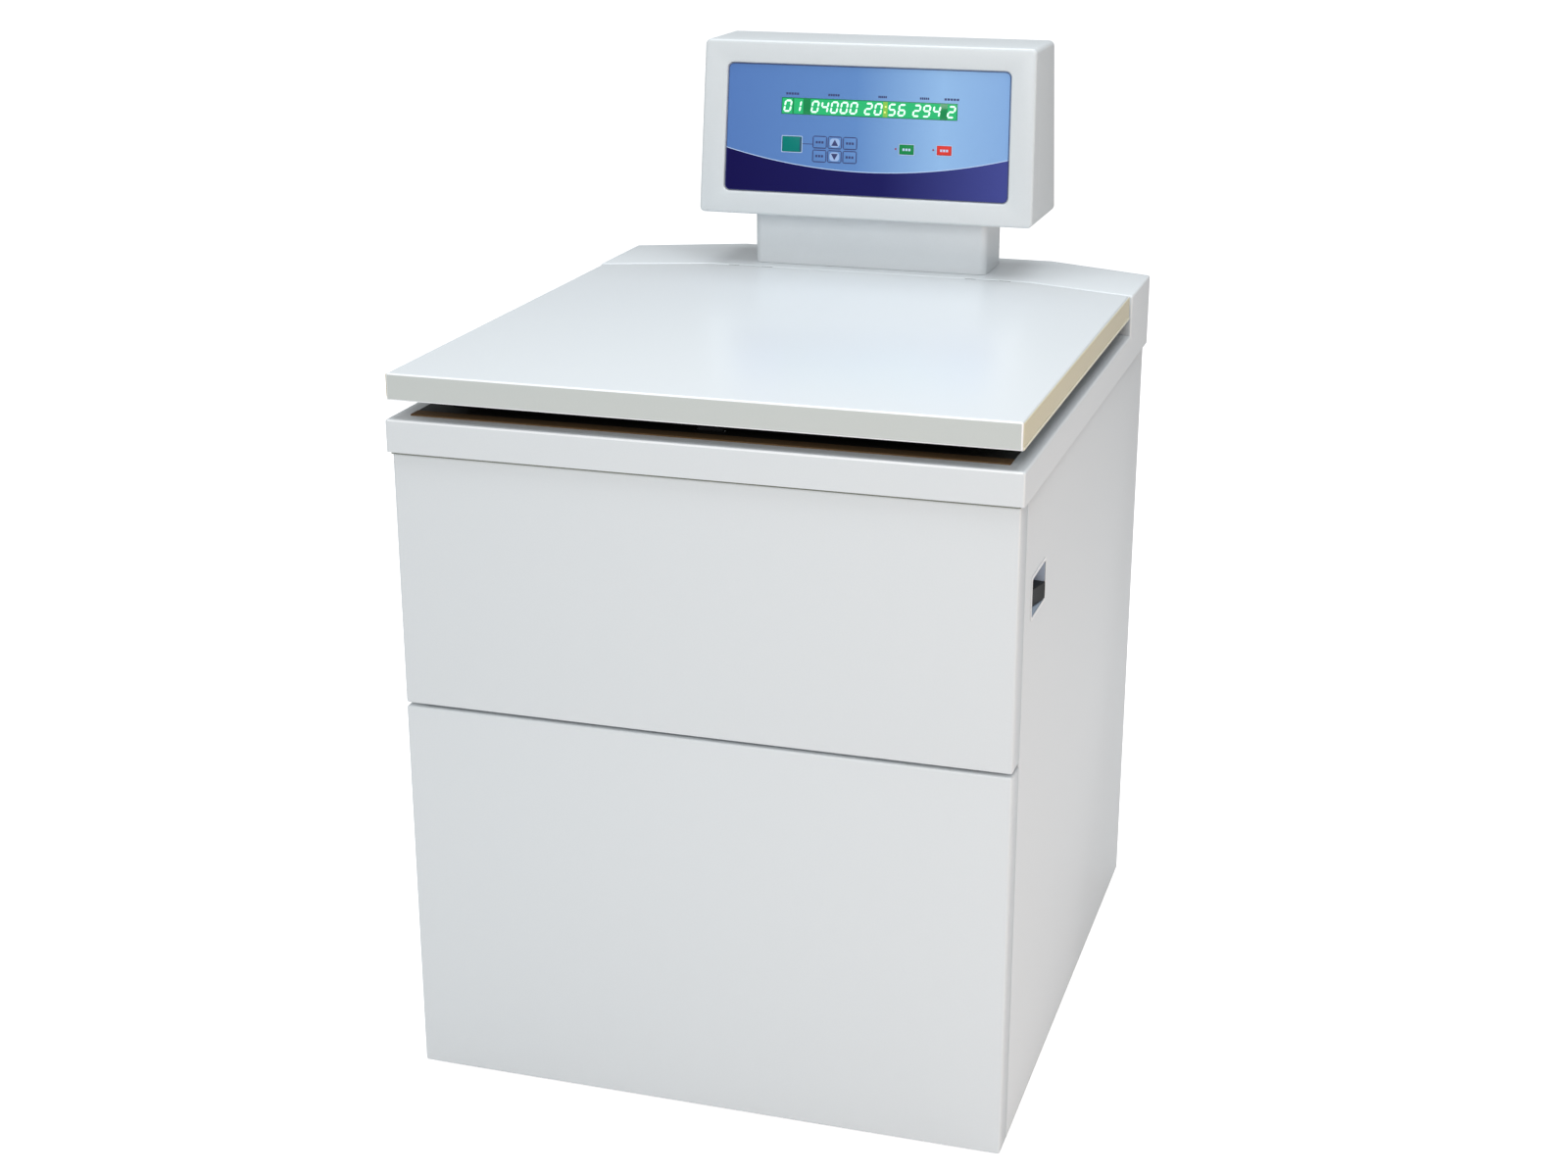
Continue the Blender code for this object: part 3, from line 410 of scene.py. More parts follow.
rear_low, rear_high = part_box("rear_panel")
cover_low, cover_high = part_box("top_cover")
inlet_low, inlet_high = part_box("power_inlet")
rear_screws = bmesh.new()
rows = [0.05 + 0.14 * k for k in range(6)]
for z in rows:
    for x in (-0.195, 0.195):
        add_screw(rear_screws, (x, rear_high.y + 0.0002, z), (0, 1, 0))
WING_INNER, WING_OUTER, WING_SHARE = 0.2135, 0.350, 0.85
wing_depth = rear_high.y - rear_low.y
wing = Vector((wing_depth, WING_OUTER - WING_INNER, 0)).normalized()
for z in rows:
    for side in (-1, 1):
        x = WING_INNER + (WING_OUTER - WING_INNER) * WING_SHARE
        y = rear_high.y - wing_depth * WING_SHARE
        add_screw(rear_screws, (side * x, y + 0.0003, z), (side * wing.x, wing.y, 0))
piece("rear_panel_screws", rear_screws, steel_bright, "cabinet", zinc_slot)
inlet_x, inlet_z = (inlet_low.x + inlet_high.x) / 2, (inlet_low.z + inlet_high.z) / 2
pins = bmesh.new()
for x, z in ((-0.007, -0.002), (0.007, -0.002), (0, 0.003)):
    blade = solid_box((inlet_x + x - 0.0011, inlet_high.y - 0.018, inlet_z + z - 0.0022),
                      (inlet_x + x + 0.0011, inlet_high.y - 0.003, inlet_z + z + 0.0022))
    bevel_edges(blade, 0.0004, lambda a, b: True, 2)
    mesh = bpy.data.meshes.new("blade")
    blade.to_mesh(mesh)
    blade.free()
    pins.from_mesh(mesh)
piece("inlet_contacts", pins, steel_bright, "cabinet", zinc_slot)
inlet_screws = bmesh.new()
for x in (inlet_low.x + 0.005, inlet_high.x - 0.005):
    add_screw(inlet_screws, (x, inlet_high.y + 0.0001, inlet_z), (0, 1, 0), 0.0026)
piece("inlet_screws", inlet_screws, steel_bright, "cabinet", zinc_slot)

# ------------------------------------------------------------------ top cover
# A single pressing of 2 mm sheet with 3 mm bend radii: a flat rim with the round chamber mouth, and a
# deck raised behind the lid, its rear corners cut at a slant. Enamelled like the panels.
COVER_X, COVER_FRONT, COVER_BACK = cover_high.x, cover_low.y, cover_high.y
SKIRT_FOOT, DECK_TOP = cover_low.z, cover_high.z
RIM_TOP = SKIRT_FOOT + 0.0370
COVER_FOLD, COVER_SHEET = 0.0030, 0.0020
SLANT_X, SLANT_Y = 0.2150, 0.3625
STEP_X, STEP_BACK, STEP_FRONT = 0.2155, 0.2715, 0.2235
cover_plan = [(-COVER_X, COVER_FRONT), (COVER_X, COVER_FRONT), (COVER_X, SLANT_Y), (SLANT_X, COVER_BACK),
              (-SLANT_X, COVER_BACK), (-COVER_X, SLANT_Y)]
deck_plan = [(-STEP_X, STEP_BACK), (STEP_X, STEP_BACK), (COVER_X, STEP_FRONT), (COVER_X, SLANT_Y),
             (SLANT_X, COVER_BACK), (-SLANT_X, COVER_BACK), (-COVER_X, SLANT_Y), (-COVER_X, STEP_FRONT)]


def inset(outline, distance):
    """An anticlockwise outline moved inwards."""
    moved = []
    for i, point in enumerate(outline):
        before, here, after = Vector(outline[i - 1]), Vector(point), Vector(outline[(i + 1) % len(outline)])
        a, b = (here - before).normalized(), (after - here).normalized()
        na, nb = Vector((-a.y, a.x)), Vector((-b.y, b.x))
        shift = (na + nb) * distance / (1 + na.dot(nb))
        moved.append((here.x + shift.x, here.y + shift.y))
    return moved


bowl_low, bowl_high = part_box("chamber_bowl")
CHAMBER = Vector(((bowl_low.x + bowl_high.x) / 2, (bowl_low.y + bowl_high.y) / 2, 0))
MOUTH_R = 0.254


def disc(centre, radius, low, high, sides=128):
    bm = bmesh.new()
    add_turned(bm, [(0, high), (radius, high), (radius, low), (0, low)], Matrix.Translation(centre), sides)
    bmesh.ops.recalc_face_normals(bm, faces=bm.faces)
    return bm


cover = piece("cover_pressing", prism(cover_plan, SKIRT_FOOT, RIM_TOP), white,
              "cabinet", white_slot, ("top_cover",))
carve(cover, prism(deck_plan, SKIRT_FOOT + 0.004, DECK_TOP), "UNION")


def on_outline(a, b):
    """True for a fold of the cover: along its outer edge or its step, or up one of its corners."""
    top = min(a.z, b.z) > RIM_TOP - 0.0005
    upright = abs(a.x - b.x) < 1e-5 and abs(a.y - b.y) < 1e-5
    on_deck = min(a.z, b.z) > DECK_TOP - 0.0005
    by_step = min(a.y, b.y) > STEP_FRONT - 0.0010 and max(a.y, b.y) < STEP_BACK + 0.0005
    at_step = abs(min(a.z, b.z) - RIM_TOP) < 0.0005 and by_step
    return (top and (on_deck or not at_step)) or upright


work = bmesh.new()
work.from_mesh(cover.data)
bmesh.ops.dissolve_limit(work, angle_limit=radians(0.5), verts=work.verts, edges=work.edges)
bevel_edges(work, COVER_FOLD, on_outline, 5)
work.to_mesh(cover.data)
work.free()
carve(cover, prism(inset(cover_plan, COVER_SHEET), SKIRT_FOOT - 0.01, RIM_TOP - COVER_SHEET))
carve(cover, prism(inset(deck_plan, COVER_SHEET), SKIRT_FOOT - 0.02, DECK_TOP - COVER_SHEET))
carve(cover, disc(CHAMBER, MOUTH_R, RIM_TOP - 0.02, RIM_TOP + 0.02))
# a lighter enamel for the front folds of the rim and the lid: a painted highlight
fold_painted_highlight = enamel("fold_painted_highlight", (0.930, 0.945, 0.960))
STRUT_X = (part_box("gas_cylinder_right")[0].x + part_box("gas_cylinder_right")[1].x) / 2
STRUT_SLOT_Y = 0.141
for side in (-1, 1):
    slot = rounded(0.008, 0.022, 0.0075, (side * STRUT_X, STRUT_SLOT_Y))
    carve(cover, prism(slot, RIM_TOP - 0.02, RIM_TOP + 0.02))
STRIKER_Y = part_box("lock_hook")[1].y + 0.0045
carve(cover, prism(rounded(0.018, 0.006, 0.002, (0, STRIKER_Y)), RIM_TOP - 0.02, RIM_TOP + 0.02))
reshade(cover)
# the faces round the rim's top front fold take the lighter enamel: a painted highlight
cover.data.materials.append(fold_painted_highlight)
for face in cover.data.polygons:
    if -0.97 < face.normal.y < -0.20 and abs(face.normal.x) < 0.1 and face.center.y < COVER_FRONT + 0.004:
        face.material_index = 1

# a dark brown strip along the rim's front paints the shade under the lid's front edge, and a dark grey strip
# below the skirt paints the shadow line of the seam
SHADE_SHEET_X, SHADE_SHEET_FRONT, SHADE_SHEET_BACK = 0.334, -0.3780, 0.2105
rim_shade_brown = moulded("rim_front_painted_shade", (0.150, 0.082, 0.030), 0.80, 900, 0.15, 0.0001)
rim_shade_strip_bm = solid_box((-SHADE_SHEET_X, -0.3970, RIM_TOP + 0.0001), (SHADE_SHEET_X, SHADE_SHEET_FRONT - 0.0005, RIM_TOP + 0.0016))
piece("rim_front_shade_strip", rim_shade_strip_bm, rim_shade_brown, "cabinet", rubber_slot)
# the dark grey strip just below the skirt's foot is painted shadow
seam_shade_grey = moulded("skirt_seam_painted_shade", (0.200, 0.215, 0.180), 0.80, 900, 0.10, 0.0001)
panel_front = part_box("upper_front_panel")[0].y
seam_shade_strip_bm = solid_box((-0.3498, panel_front - 0.0030, SKIRT_FOOT - 0.0022),
                       (0.3498, panel_front - 0.0002, SKIRT_FOOT + 0.0060))
piece("cover_skirt_shade_strip", seam_shade_strip_bm, seam_shade_grey, "cabinet", rubber_slot)
# a thin near-black sheet on the rim, cut round the mouth and the slots, paints the shade under the lid
rim_shade_black = moulded("rim_painted_shade_black", (0.020, 0.019, 0.016), 0.55, 700, 0.12, 0.0001)
shade_sheet_plan = [(-SHADE_SHEET_X, SHADE_SHEET_FRONT), (SHADE_SHEET_X, SHADE_SHEET_FRONT), (SHADE_SHEET_X, SHADE_SHEET_BACK), (-SHADE_SHEET_X, SHADE_SHEET_BACK)]
rim_shade_sheet = piece("rim_shade_sheet", prism(shade_sheet_plan, RIM_TOP + 0.0001, RIM_TOP + 0.0011), rim_shade_black,
                "cabinet", rubber_slot)
carve(rim_shade_sheet, disc(CHAMBER, 0.2755, RIM_TOP - 0.01, RIM_TOP + 0.01))
carve(rim_shade_sheet, prism(rounded(0.0172, 0.0052, 0.002, (0, STRIKER_Y)), RIM_TOP - 0.01, RIM_TOP + 0.01))
for side in (-1, 1):
    slot = rounded(0.0074, 0.0214, 0.0070, (side * STRUT_X, STRUT_SLOT_Y))
    carve(rim_shade_sheet, prism(slot, RIM_TOP - 0.01, RIM_TOP + 0.01))
reshade(rim_shade_sheet)

# ------------------------------------------------------------------ rotor chamber
# A deep-drawn stainless bowl hangs by its flange under the rim. Three turns of copper tube cool it,
# foam insulates it, a ring of thick plate guards it, and a soft gasket crowns the mouth.
stainless = metal("stainless", (0.63, 0.63, 0.615), 0.27, 90, (1, 1, 9), 0.03, 0.00003, 0.4)
steel_slot = "stainless"
BOWL_R, BOWL_FLOOR, FLANGE = 0.250, bowl_low.z + SHEET, bowl_high.z


def arc(radius, height, bend, start, end, steps=6):
    """Points round a bend in a turned profile."""
    return [(radius + bend * cos(radians(start + (end - start) * k / steps)),
             height + bend * sin(radians(start + (end - start) * k / steps))) for k in range(steps + 1)]


bowl = bmesh.new()
inner = [(0.0305, BOWL_FLOOR + 0.0008), (0.0345, BOWL_FLOOR + 0.0016)]
inner += [(0.040, BOWL_FLOOR + 0.0012), (0.046, BOWL_FLOOR)]
inner += arc(BOWL_R - 0.0150, BOWL_FLOOR + 0.0150, 0.0150, -90, 0, 10)
inner += [(BOWL_R, BOWL_FLOOR + 0.060), (BOWL_R - 0.0006, BOWL_FLOOR + 0.064), (BOWL_R, BOWL_FLOOR + 0.068)]
inner += [(BOWL_R, FLANGE - 0.0050)] + arc(BOWL_R + 0.0032, FLANGE - 0.0032, 0.0032, 180, 90)
inner += [(BOWL_R + 0.0212, FLANGE), (BOWL_R + 0.0212, FLANGE - 0.0014), (BOWL_R + 0.0014, FLANGE - 0.0014)]
inner += [(BOWL_R + 0.0014, BOWL_FLOOR + 0.0150), (BOWL_R - 0.0140, BOWL_FLOOR - 0.0014)]
inner += [(0.0305, BOWL_FLOOR - 0.0014)]
add_turned(bowl, inner, Matrix.Translation(CHAMBER), 160)
piece("bowl_shell", bowl, stainless, "cabinet", steel_slot, ("chamber_bowl",))

copper = metal("copper", (0.86, 0.42, 0.24), 0.28, 260)
coil = nodes["evaporator_coil"]
coil.data.materials.clear()
coil.data.materials.append(copper)
coil.modifiers.new("round", "SUBSURF").render_levels = 1
coil.data.shade_smooth()
foam = moulded("foam", (0.86, 0.75, 0.48), 0.9, 240, 0.10, 0.0006)
dress("chamber_insulation", foam, 0)
dress("armour_ring", zinc, 0.0004)
ARMOUR_R, ARMOUR_BOLT_Z = 0.2922, 0.480
armour_bolts = bmesh.new()
for k in range(12):
    a = radians(30 * k + 15)
    point = CHAMBER + Vector((ARMOUR_R * cos(a), ARMOUR_R * sin(a), ARMOUR_BOLT_Z))
    add_screw(armour_bolts, point, (cos(a), sin(a), 0), 0.0050)
piece("armour_bolts", armour_bolts, steel_bright, "cabinet", zinc_slot)

gasket = bmesh.new()
lip = RIM_TOP + 0.0003
bulb = [(0.2582, lip), (0.2580, lip + 0.0012), (0.2590, lip + 0.0018), (0.2602, lip + 0.0016)]
bulb += arc(0.2660, lip + 0.0011, 0.0026, 160, 20, 10)
bulb += [(0.2728, lip + 0.0016), (0.2738, lip + 0.0018), (0.2739, lip + 0.0012), (0.2738, lip)]
add_turned(gasket, bulb, Matrix.Translation(CHAMBER), 160)
piece("gasket_bulb", gasket, rubber, "cabinet", rubber_slot, ("chamber_gasket",))

# ------------------------------------------------------------------ motor
# A finned induction motor stands on three rubber dampers round the hole in the shelf; its shaft passes up
# through the bowl's floor to the rotor.
motor_paint = moulded("motor_enamel", (0.035, 0.040, 0.045), 0.38, 300, 0.06, 0.00008, 0.3)
paint_slot = "black_enamel"
fins = [(0.0132, 0.5118), (0.0285, 0.5118), (0.0298, 0.5105), (0.0298, 0.5000), (0.1280, 0.5000)]
fins += [(0.1294, 0.4985), (0.1294, 0.4915), (0.1280, 0.4903), (0.0840, 0.4903), (0.0840, 0.4800)]
for k in range(12):
    z = 0.474 - 0.0125 * k
    fins += [(0.0848, z), (0.0848, z - 0.0035), (0.0775, z - 0.0042), (0.0775, z - 0.0115)]
fins += [(0.0845, 0.318), (0.0845, 0.2790), (0.0815, 0.2740), (0.0600, 0.2625), (0.0132, 0.2625)]
motor = bmesh.new()
add_turned(motor, fins, Matrix.Translation(CHAMBER), 96)
piece("motor_casing", motor, motor_paint, "cabinet", paint_slot, ("drive_motor",))
motor_bolts = bmesh.new()
for k in range(6):
    a = radians(60 * k + 30)
    add_screw(motor_bolts, CHAMBER + Vector((0.098 * cos(a), 0.098 * sin(a), 0.5002)), (0, 0, 1), 0.0060)
piece("motor_bolts", motor_bolts, steel_bright, "cabinet", zinc_slot)
for k in range(3):
    dress(f"motor_damper_{k + 1}", rubber, 0.0008)
dress("drive_shaft", stainless, 0.0006)

# ------------------------------------------------------------------ cooling set
# A hermetic compressor, black enamelled with a weld bead round its waist, feeds the condenser behind it;
# a five-bladed fan in the condenser's shroud blows through close aluminium fins towards the rear vent.
dress("compressor", motor_paint, 0.0006)
comp_low, comp_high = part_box("compressor")
comp = Vector(((comp_low.x + comp_high.x) / 2, (comp_low.y + comp_high.y) / 2, 0))
bead = bmesh.new()
add_turned(bead, arc(0.0842, 0.178, 0.0030, 0, 360, 12)[:-1], Matrix.Translation(comp), 72)
piece("compressor_weld", bead, motor_paint, "cabinet", paint_slot)
comp_feet = bmesh.new()
for x in (-0.078, 0.078):
    for y in (-0.048, 0.048):
        add_screw(comp_feet, comp + Vector((x, y, 0.0781)), (0, 0, 1), 0.0070)
piece("compressor_bolts", comp_feet, zinc, "cabinet", zinc_slot)

finned, finned_pbr = shader("finned_aluminium")
finned_pbr.inputs["Metallic"].default_value = 1.0
grain(finned, finned_pbr, (0.60, 0.61, 0.63), 60, 0.05, 0.42, 0.06, 0.0001)
dress("condenser", finned, 0)
core_low, core_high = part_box("condenser")
leaves = bmesh.new()
FIN_COUNT, CORE_FRAME = 62, 0.012
for k in range(FIN_COUNT):
    x = core_low.x + CORE_FRAME + (core_high.x - core_low.x - 2 * CORE_FRAME) * k / (FIN_COUNT - 1)
    leaf = solid_box((x - 0.0009, core_high.y - 0.001, core_low.z + CORE_FRAME),
                     (x + 0.0009, core_high.y + 0.0035, core_high.z - CORE_FRAME))
    bevel_edges(leaf, 0.0003, lambda a, b: True, 1)
    mesh = bpy.data.meshes.new("leaf")
    leaf.to_mesh(mesh)
    leaf.free()
    leaves.from_mesh(mesh)
piece("condenser_fins", leaves, finned, "cabinet", "anodised_aluminium")
dress("condenser_fan", black, 0.0004)

# ------------------------------------------------------------------ motor inverter
# A grey die-cast box with cooling ribs along one side; its cover is held by four screws.
grey = moulded("grey_plastic", (0.52, 0.60, 0.72), 0.34, 600, 0.03, 0.00006)
grey_slot = "grey_plastic"
dress("motor_inverter", grey, 0.0010)
inv_low, inv_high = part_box("motor_inverter")
inverter_screws = bmesh.new()
for x in (inv_low.x + 0.022, inv_high.x - 0.012):
    for y in (inv_low.y + 0.012, inv_high.y - 0.012):
        add_screw(inverter_screws, (x, y, inv_high.z + 0.0001), (0, 0, 1), 0.0035)
piece("inverter_screws", inverter_screws, steel_bright, "cabinet", zinc_slot)

# ------------------------------------------------------------------ swing-out rotor
# A thick anodised disc with four bays; in each hangs a turned bucket on two trunnion pins. A stainless
# nut with a hex socket clamps the head to the shaft, and the places are numbered.
anodised = metal("anodised_aluminium", (0.60, 0.62, 0.65), 0.30, 130, (1, 1, 5), 0.04, 0.00003, 0.3)
alu_slot = "anodised_aluminium"
dress("rotor_head", anodised, 0.0010, 3)
HEAD_TOP = 0.711 + 0.0170
nut_low, nut_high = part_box("rotor_nut")
nut = bmesh.new()
nut_profile = [(0.0118, nut_low.z), (0.0185, nut_low.z), (0.0192, nut_low.z + 0.0008)]
nut_profile += [(0.0192, nut_low.z + 0.0180), (0.0188, nut_low.z + 0.0186), (0.0192, nut_low.z + 0.0192)]
nut_profile += arc(0.0162, nut_high.z - 0.0030, 0.0030, 0, 90, 5)
nut_profile += [(0.0100, nut_high.z), (0.0092, nut_high.z - 0.0008)]
nut_profile += [(0.0092, nut_high.z - 0.0042), (0.0, nut_high.z - 0.0046)]
nut_profile += [(0.0, nut_high.z - 0.0062), (0.0118, nut_high.z - 0.0062)]
socket_rings = (len(nut_profile) - 5, len(nut_profile) - 6)
add_turned(nut, nut_profile, Matrix.Translation(CHAMBER), 48, hexes=socket_rings)
piece("nut_knob", nut, stainless, "rotor", steel_slot, ("rotor_nut",))

ink, ink_pbr = shader("engraving_ink")
grain(ink, ink_pbr, (0.02, 0.022, 0.03), 900, 0.2, 0.5, 0.05, 0.00002)


def seven(digit, width, height, stroke, lean=0.0):
    """A seven-segment figure as six-sided bars: lists of (u, v) outlines round its middle."""
    bars = {"a": (0, 1, 0), "g": (0, 0, 0), "d": (0, -1, 0), "f": (-1, 0.5, 1), "b": (1, 0.5, 1),
            "e": (-1, -0.5, 1), "c": (1, -0.5, 1)}
    lit = ("abcdef", "bc", "abged", "abgcd", "fgbc", "afgcd", "afgedc", "abc", "abcdefg", "abcdfg")
    w, h, s = (width - stroke) / 2, (height - stroke) / 2, stroke / 2
    outlines = []
    for key in lit[digit]:
        u, v, upright = bars[key]
        cu, cv = u * w, v * h
        half = (h / 2 if upright else w) - s * 0.25
        bar = [(-half, 0), (-half + s, s), (half - s, s), (half, 0), (half - s, -s), (-half + s, -s)]
        turned_bar = [(cu - q, cv + p) if upright else (cu + p, cv + q) for p, q in bar]
        outlines.append([(p + q * lean, q) for p, q in turned_bar])
    return outlines


def add_prints(bm, outlines, place, thick):
    """Thin raised shapes: outlines in the place's X and Y, as thick as an ink film."""
    for outline in outlines:
        foot = [bm.verts.new(place @ Vector((u, v, 0))) for u, v in outline]
        head = [bm.verts.new(place @ Vector((u, v, thick))) for u, v in outline]
        bm.faces.new(head)
        bm.faces.new(foot)
        for i in range(len(outline)):
            j = (i + 1) % len(outline)
            bm.faces.new((foot[i], foot[j], head[j], head[i]))


figures = bmesh.new()
for k in range(4):
    a = pi / 2 * k
    spot = Matrix.Translation(CHAMBER + Vector((0.052 * cos(a), 0.052 * sin(a), HEAD_TOP)))
    facing_out = spot @ Matrix.Rotation(a - pi / 2, 4, "Z")
    add_prints(figures, seven(k + 1, 0.006, 0.011, 0.0014), facing_out, 0.00015)
piece("place_numbers", figures, ink, "rotor", black_slot)

head_screws = bmesh.new()
for k in range(4):
    a = pi / 2 * k + pi / 4
    point = CHAMBER + Vector((0.060 * cos(a), 0.060 * sin(a), HEAD_TOP + 0.0001))
    add_screw(head_screws, point, (0, 0, 1), 0.0050)
piece("rotor_head_screws", head_screws, steel_bright, "rotor", zinc_slot)
PLACE_R, BAND_DROP = 0.122, 0.112
for k in range(4):
    bucket = dress(f"bucket_{k + 1}", anodised, 0.0005)
    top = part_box(bucket.name)[1].z
    ring = bmesh.new()
    band = [(0.0414, top - 0.0010), (0.0421, top - 0.0016), (0.0421, top - 0.0040), (0.0414, top - 0.0046)]
    axis = CHAMBER + Vector((PLACE_R * cos(pi / 2 * k), PLACE_R * sin(pi / 2 * k), 0))
    add_turned(ring, band, Matrix.Translation(axis), 64)
    add_turned(ring, [(r, z - BAND_DROP) for r, z in band], Matrix.Translation(axis), 64)
    piece(f"bucket_{k + 1}_bands", ring, anodised, bucket.name, alu_slot)

# ------------------------------------------------------------------ lid lock
# A black housing under the rim holds a blackened hook that a small motor turns through the lid's striker.
dress("lock_housing", black, 0.0006)
dress("lock_hook", metal("blackened_steel", (0.060, 0.060, 0.063), 0.40), 0.0005)
lock_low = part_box("lock_housing")[0]
lock_screws = bmesh.new()
for x in (-0.022, 0.022):
    for z in (0.742, 0.790):
        add_screw(lock_screws, (x, lock_low.y - 0.0002, z), (0, -1, 0), 0.0026)
piece("lock_screws", lock_screws, steel_bright, "cabinet", zinc_slot)

# ------------------------------------------------------------------ lid
# The lid is a flat tray of folded sheet over a stiff frame in dark zinc. Cream edge trims cover its two
# sides, and a black moulded plug fills its underside and presses on the gasket.
lid_low, lid_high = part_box("lid_skin")
LID_X, LID_FRONT, LID_BACK = 0.3505, lid_low.y, lid_high.y
LID_BOTTOM, LID_TOP = lid_low.z, lid_high.z
LID_SIDE_BACK = 0.2212
lid_plan = [(-LID_X, LID_FRONT), (LID_X, LID_FRONT), (LID_X, LID_SIDE_BACK), (SLANT_X, LID_BACK),
            (-SLANT_X, LID_BACK), (-LID_X, LID_SIDE_BACK)]


def on_lid_fold(a, b):
    """True for the lid's top edge, its bottom front edge and its two front corners."""
    at_top = min(a.z, b.z) > LID_TOP - 0.0005
    at_foot = max(a.z, b.z) < LID_BOTTOM + 0.0005 and max(a.y, b.y) < LID_FRONT + 0.0005
    corner = abs(a.x - b.x) < 1e-5 and abs(a.y - b.y) < 1e-5 and a.y < 0
    return at_top or at_foot or corner


skin_bm = prism(lid_plan, LID_BOTTOM, LID_TOP)
bmesh.ops.recalc_face_normals(skin_bm, faces=skin_bm.faces)
bevel_edges(skin_bm, 0.0026, on_lid_fold, 5)
lid_skin = piece("lid_shell", skin_bm, white, "lid", white_slot, ("lid_skin",))
carve(lid_skin, prism(inset(lid_plan, 0.0015), LID_BOTTOM - 0.01, LID_TOP - 0.0015))
HINGE_X = 0.160
for side in (-1, 1):
    low = (side * HINGE_X - 0.0305, LID_BACK - 0.006, 0.8377)
    carve(lid_skin, solid_box(low, (low[0] + 0.061, LID_BACK + 0.01, 0.8443)))
reshade(lid_skin)
# the lid's flat front face takes a darker, greener enamel: painted shade; its front folds take the lighter
# enamel: a painted highlight
lid_skin.data.materials.append(enamel("lid_front_painted_shade", (0.590, 0.620, 0.600)))
lid_skin.data.materials.append(fold_painted_highlight)
for face in lid_skin.data.polygons:
    if face.normal.y < -0.20 and face.center.y < LID_FRONT + 0.004:
        face.material_index = 1 if face.normal.y < -0.97 else 2

cream = moulded("cream_trim", (0.680, 0.625, 0.450), 0.42, 700, 0.02, 0.00005)
cream_light = moulded("cream_bead", (0.790, 0.760, 0.600), 0.36, 700, 0.02, 0.00003)
TRIM_BACK = 0.2205


def on_outer_face(a, b):
    return min(abs(a.x), abs(b.x)) > LID_X + 0.0005


def side_strip(side, proud, front, low, high):
    """A bar along one side of the lid that stands a little proud of it."""
    inside, outside = side * LID_X, side * (LID_X + proud)
    return solid_box((min(inside, outside), front, low), (max(inside, outside), TRIM_BACK, high))


for side, label in ((-1, "left"), (1, "right")):
    strip = side_strip(side, 0.0009, LID_FRONT + 0.0016, LID_BOTTOM + 0.0042, LID_TOP - 0.0014)
    bevel_edges(strip, 0.0005, on_outer_face, 3)
    piece(f"lid_trim_{label}", strip, cream, "lid", white_slot)
    bead_bm = side_strip(side, 0.0017, LID_FRONT + 0.0030, LID_BOTTOM + 0.0006, LID_BOTTOM + 0.0040)
    bevel_edges(bead_bm, 0.0012, on_outer_face, 4)
    piece(f"lid_bead_{label}", bead_bm, cream_light, "lid", white_slot)

dress("lid_frame", metal("dark_zinc", (0.070, 0.070, 0.074), 0.42), 0.0004)
liner_low, liner_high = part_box("lid_liner")
plug = solid_box(liner_low, liner_high)
bevel_edges(plug, 0.0045, lambda a, b: not (min(a.z, b.z) > liner_high.z - 0.0005), 5)
liner = piece("liner_moulding", plug, black, "lid", black_slot, ("lid_liner",))
striker_slot = rounded(0.016, 0.00525, 0.002, (0, STRIKER_Y - 0.0003))
carve(liner, prism(striker_slot, liner_low.z - 0.01, liner_high.z + 0.01))
reshade(liner)
land = bmesh.new()
land_profile = [(0.2560, liner_low.z + 0.0002), (0.2570, liner_low.z - 0.00015),
                (0.2750, liner_low.z - 0.00015), (0.2760, liner_low.z + 0.0002)]
add_turned(land, land_profile, Matrix.Translation(CHAMBER), 128)
piece("liner_seal_land", land, moulded("liner_land", (0.045, 0.045, 0.047), 0.30), "lid", black_slot)
liner_screws = bmesh.new()
screw_places = [(-0.285, -0.35), (0, 0.198), (0.285, -0.35), (-0.285, 0.195), (0.285, 0.195),
                (-0.288, -0.0775), (0.288, -0.0775)]
for x, y in screw_places:
    add_screw(liner_screws, (x, y, liner_low.z - 0.0001), (0, 0, -1), 0.0040)
piece("liner_screws", liner_screws, steel_bright, "lid", zinc_slot)

# ------------------------------------------------------------------ hinges and gas springs
# Two steel butt hinges stand in the gap between lid and deck, their knuckles just under the top. A gas
# spring at each side lifts the lid; its black tube is pinned to the shelf and its ram to the lid's frame.
hinge_screws = bmesh.new()
for side, label in ((-1, "left"), (1, "right")):
    dress(f"hinge_bracket_{label}", zinc, 0.0002)
    for x in (-0.022, 0.022):
        add_screw(hinge_screws, (side * HINGE_X + x, 0.2702, 0.8335), (0, -1, 0), 0.0016)
piece("hinge_screws", hinge_screws, steel_bright, "cabinet", zinc_slot)
gloss_black = moulded("black_gloss", (0.018, 0.018, 0.019), 0.22, 400, 0.05, 0.00002, 0.5)
for label in ("left", "right"):
    dress(f"gas_cylinder_{label}", gloss_black, 0.0005)
    dress(f"gas_rod_{label}", gloss_black, 0.0003)


# ------------------------------------------------------------------ mains switch
# A blue-grey moulded recess let into the right panel, inside a thin white trim. A broad black rocker fills
# its lower half, with a small catch above the rocker's front end.
def switch_outline(larger, radius):
    """The recess's outline, made larger or smaller all round."""
    return rounded(switch_half_y + larger, switch_half_z + larger, radius, (switch_y, switch_z), 8)


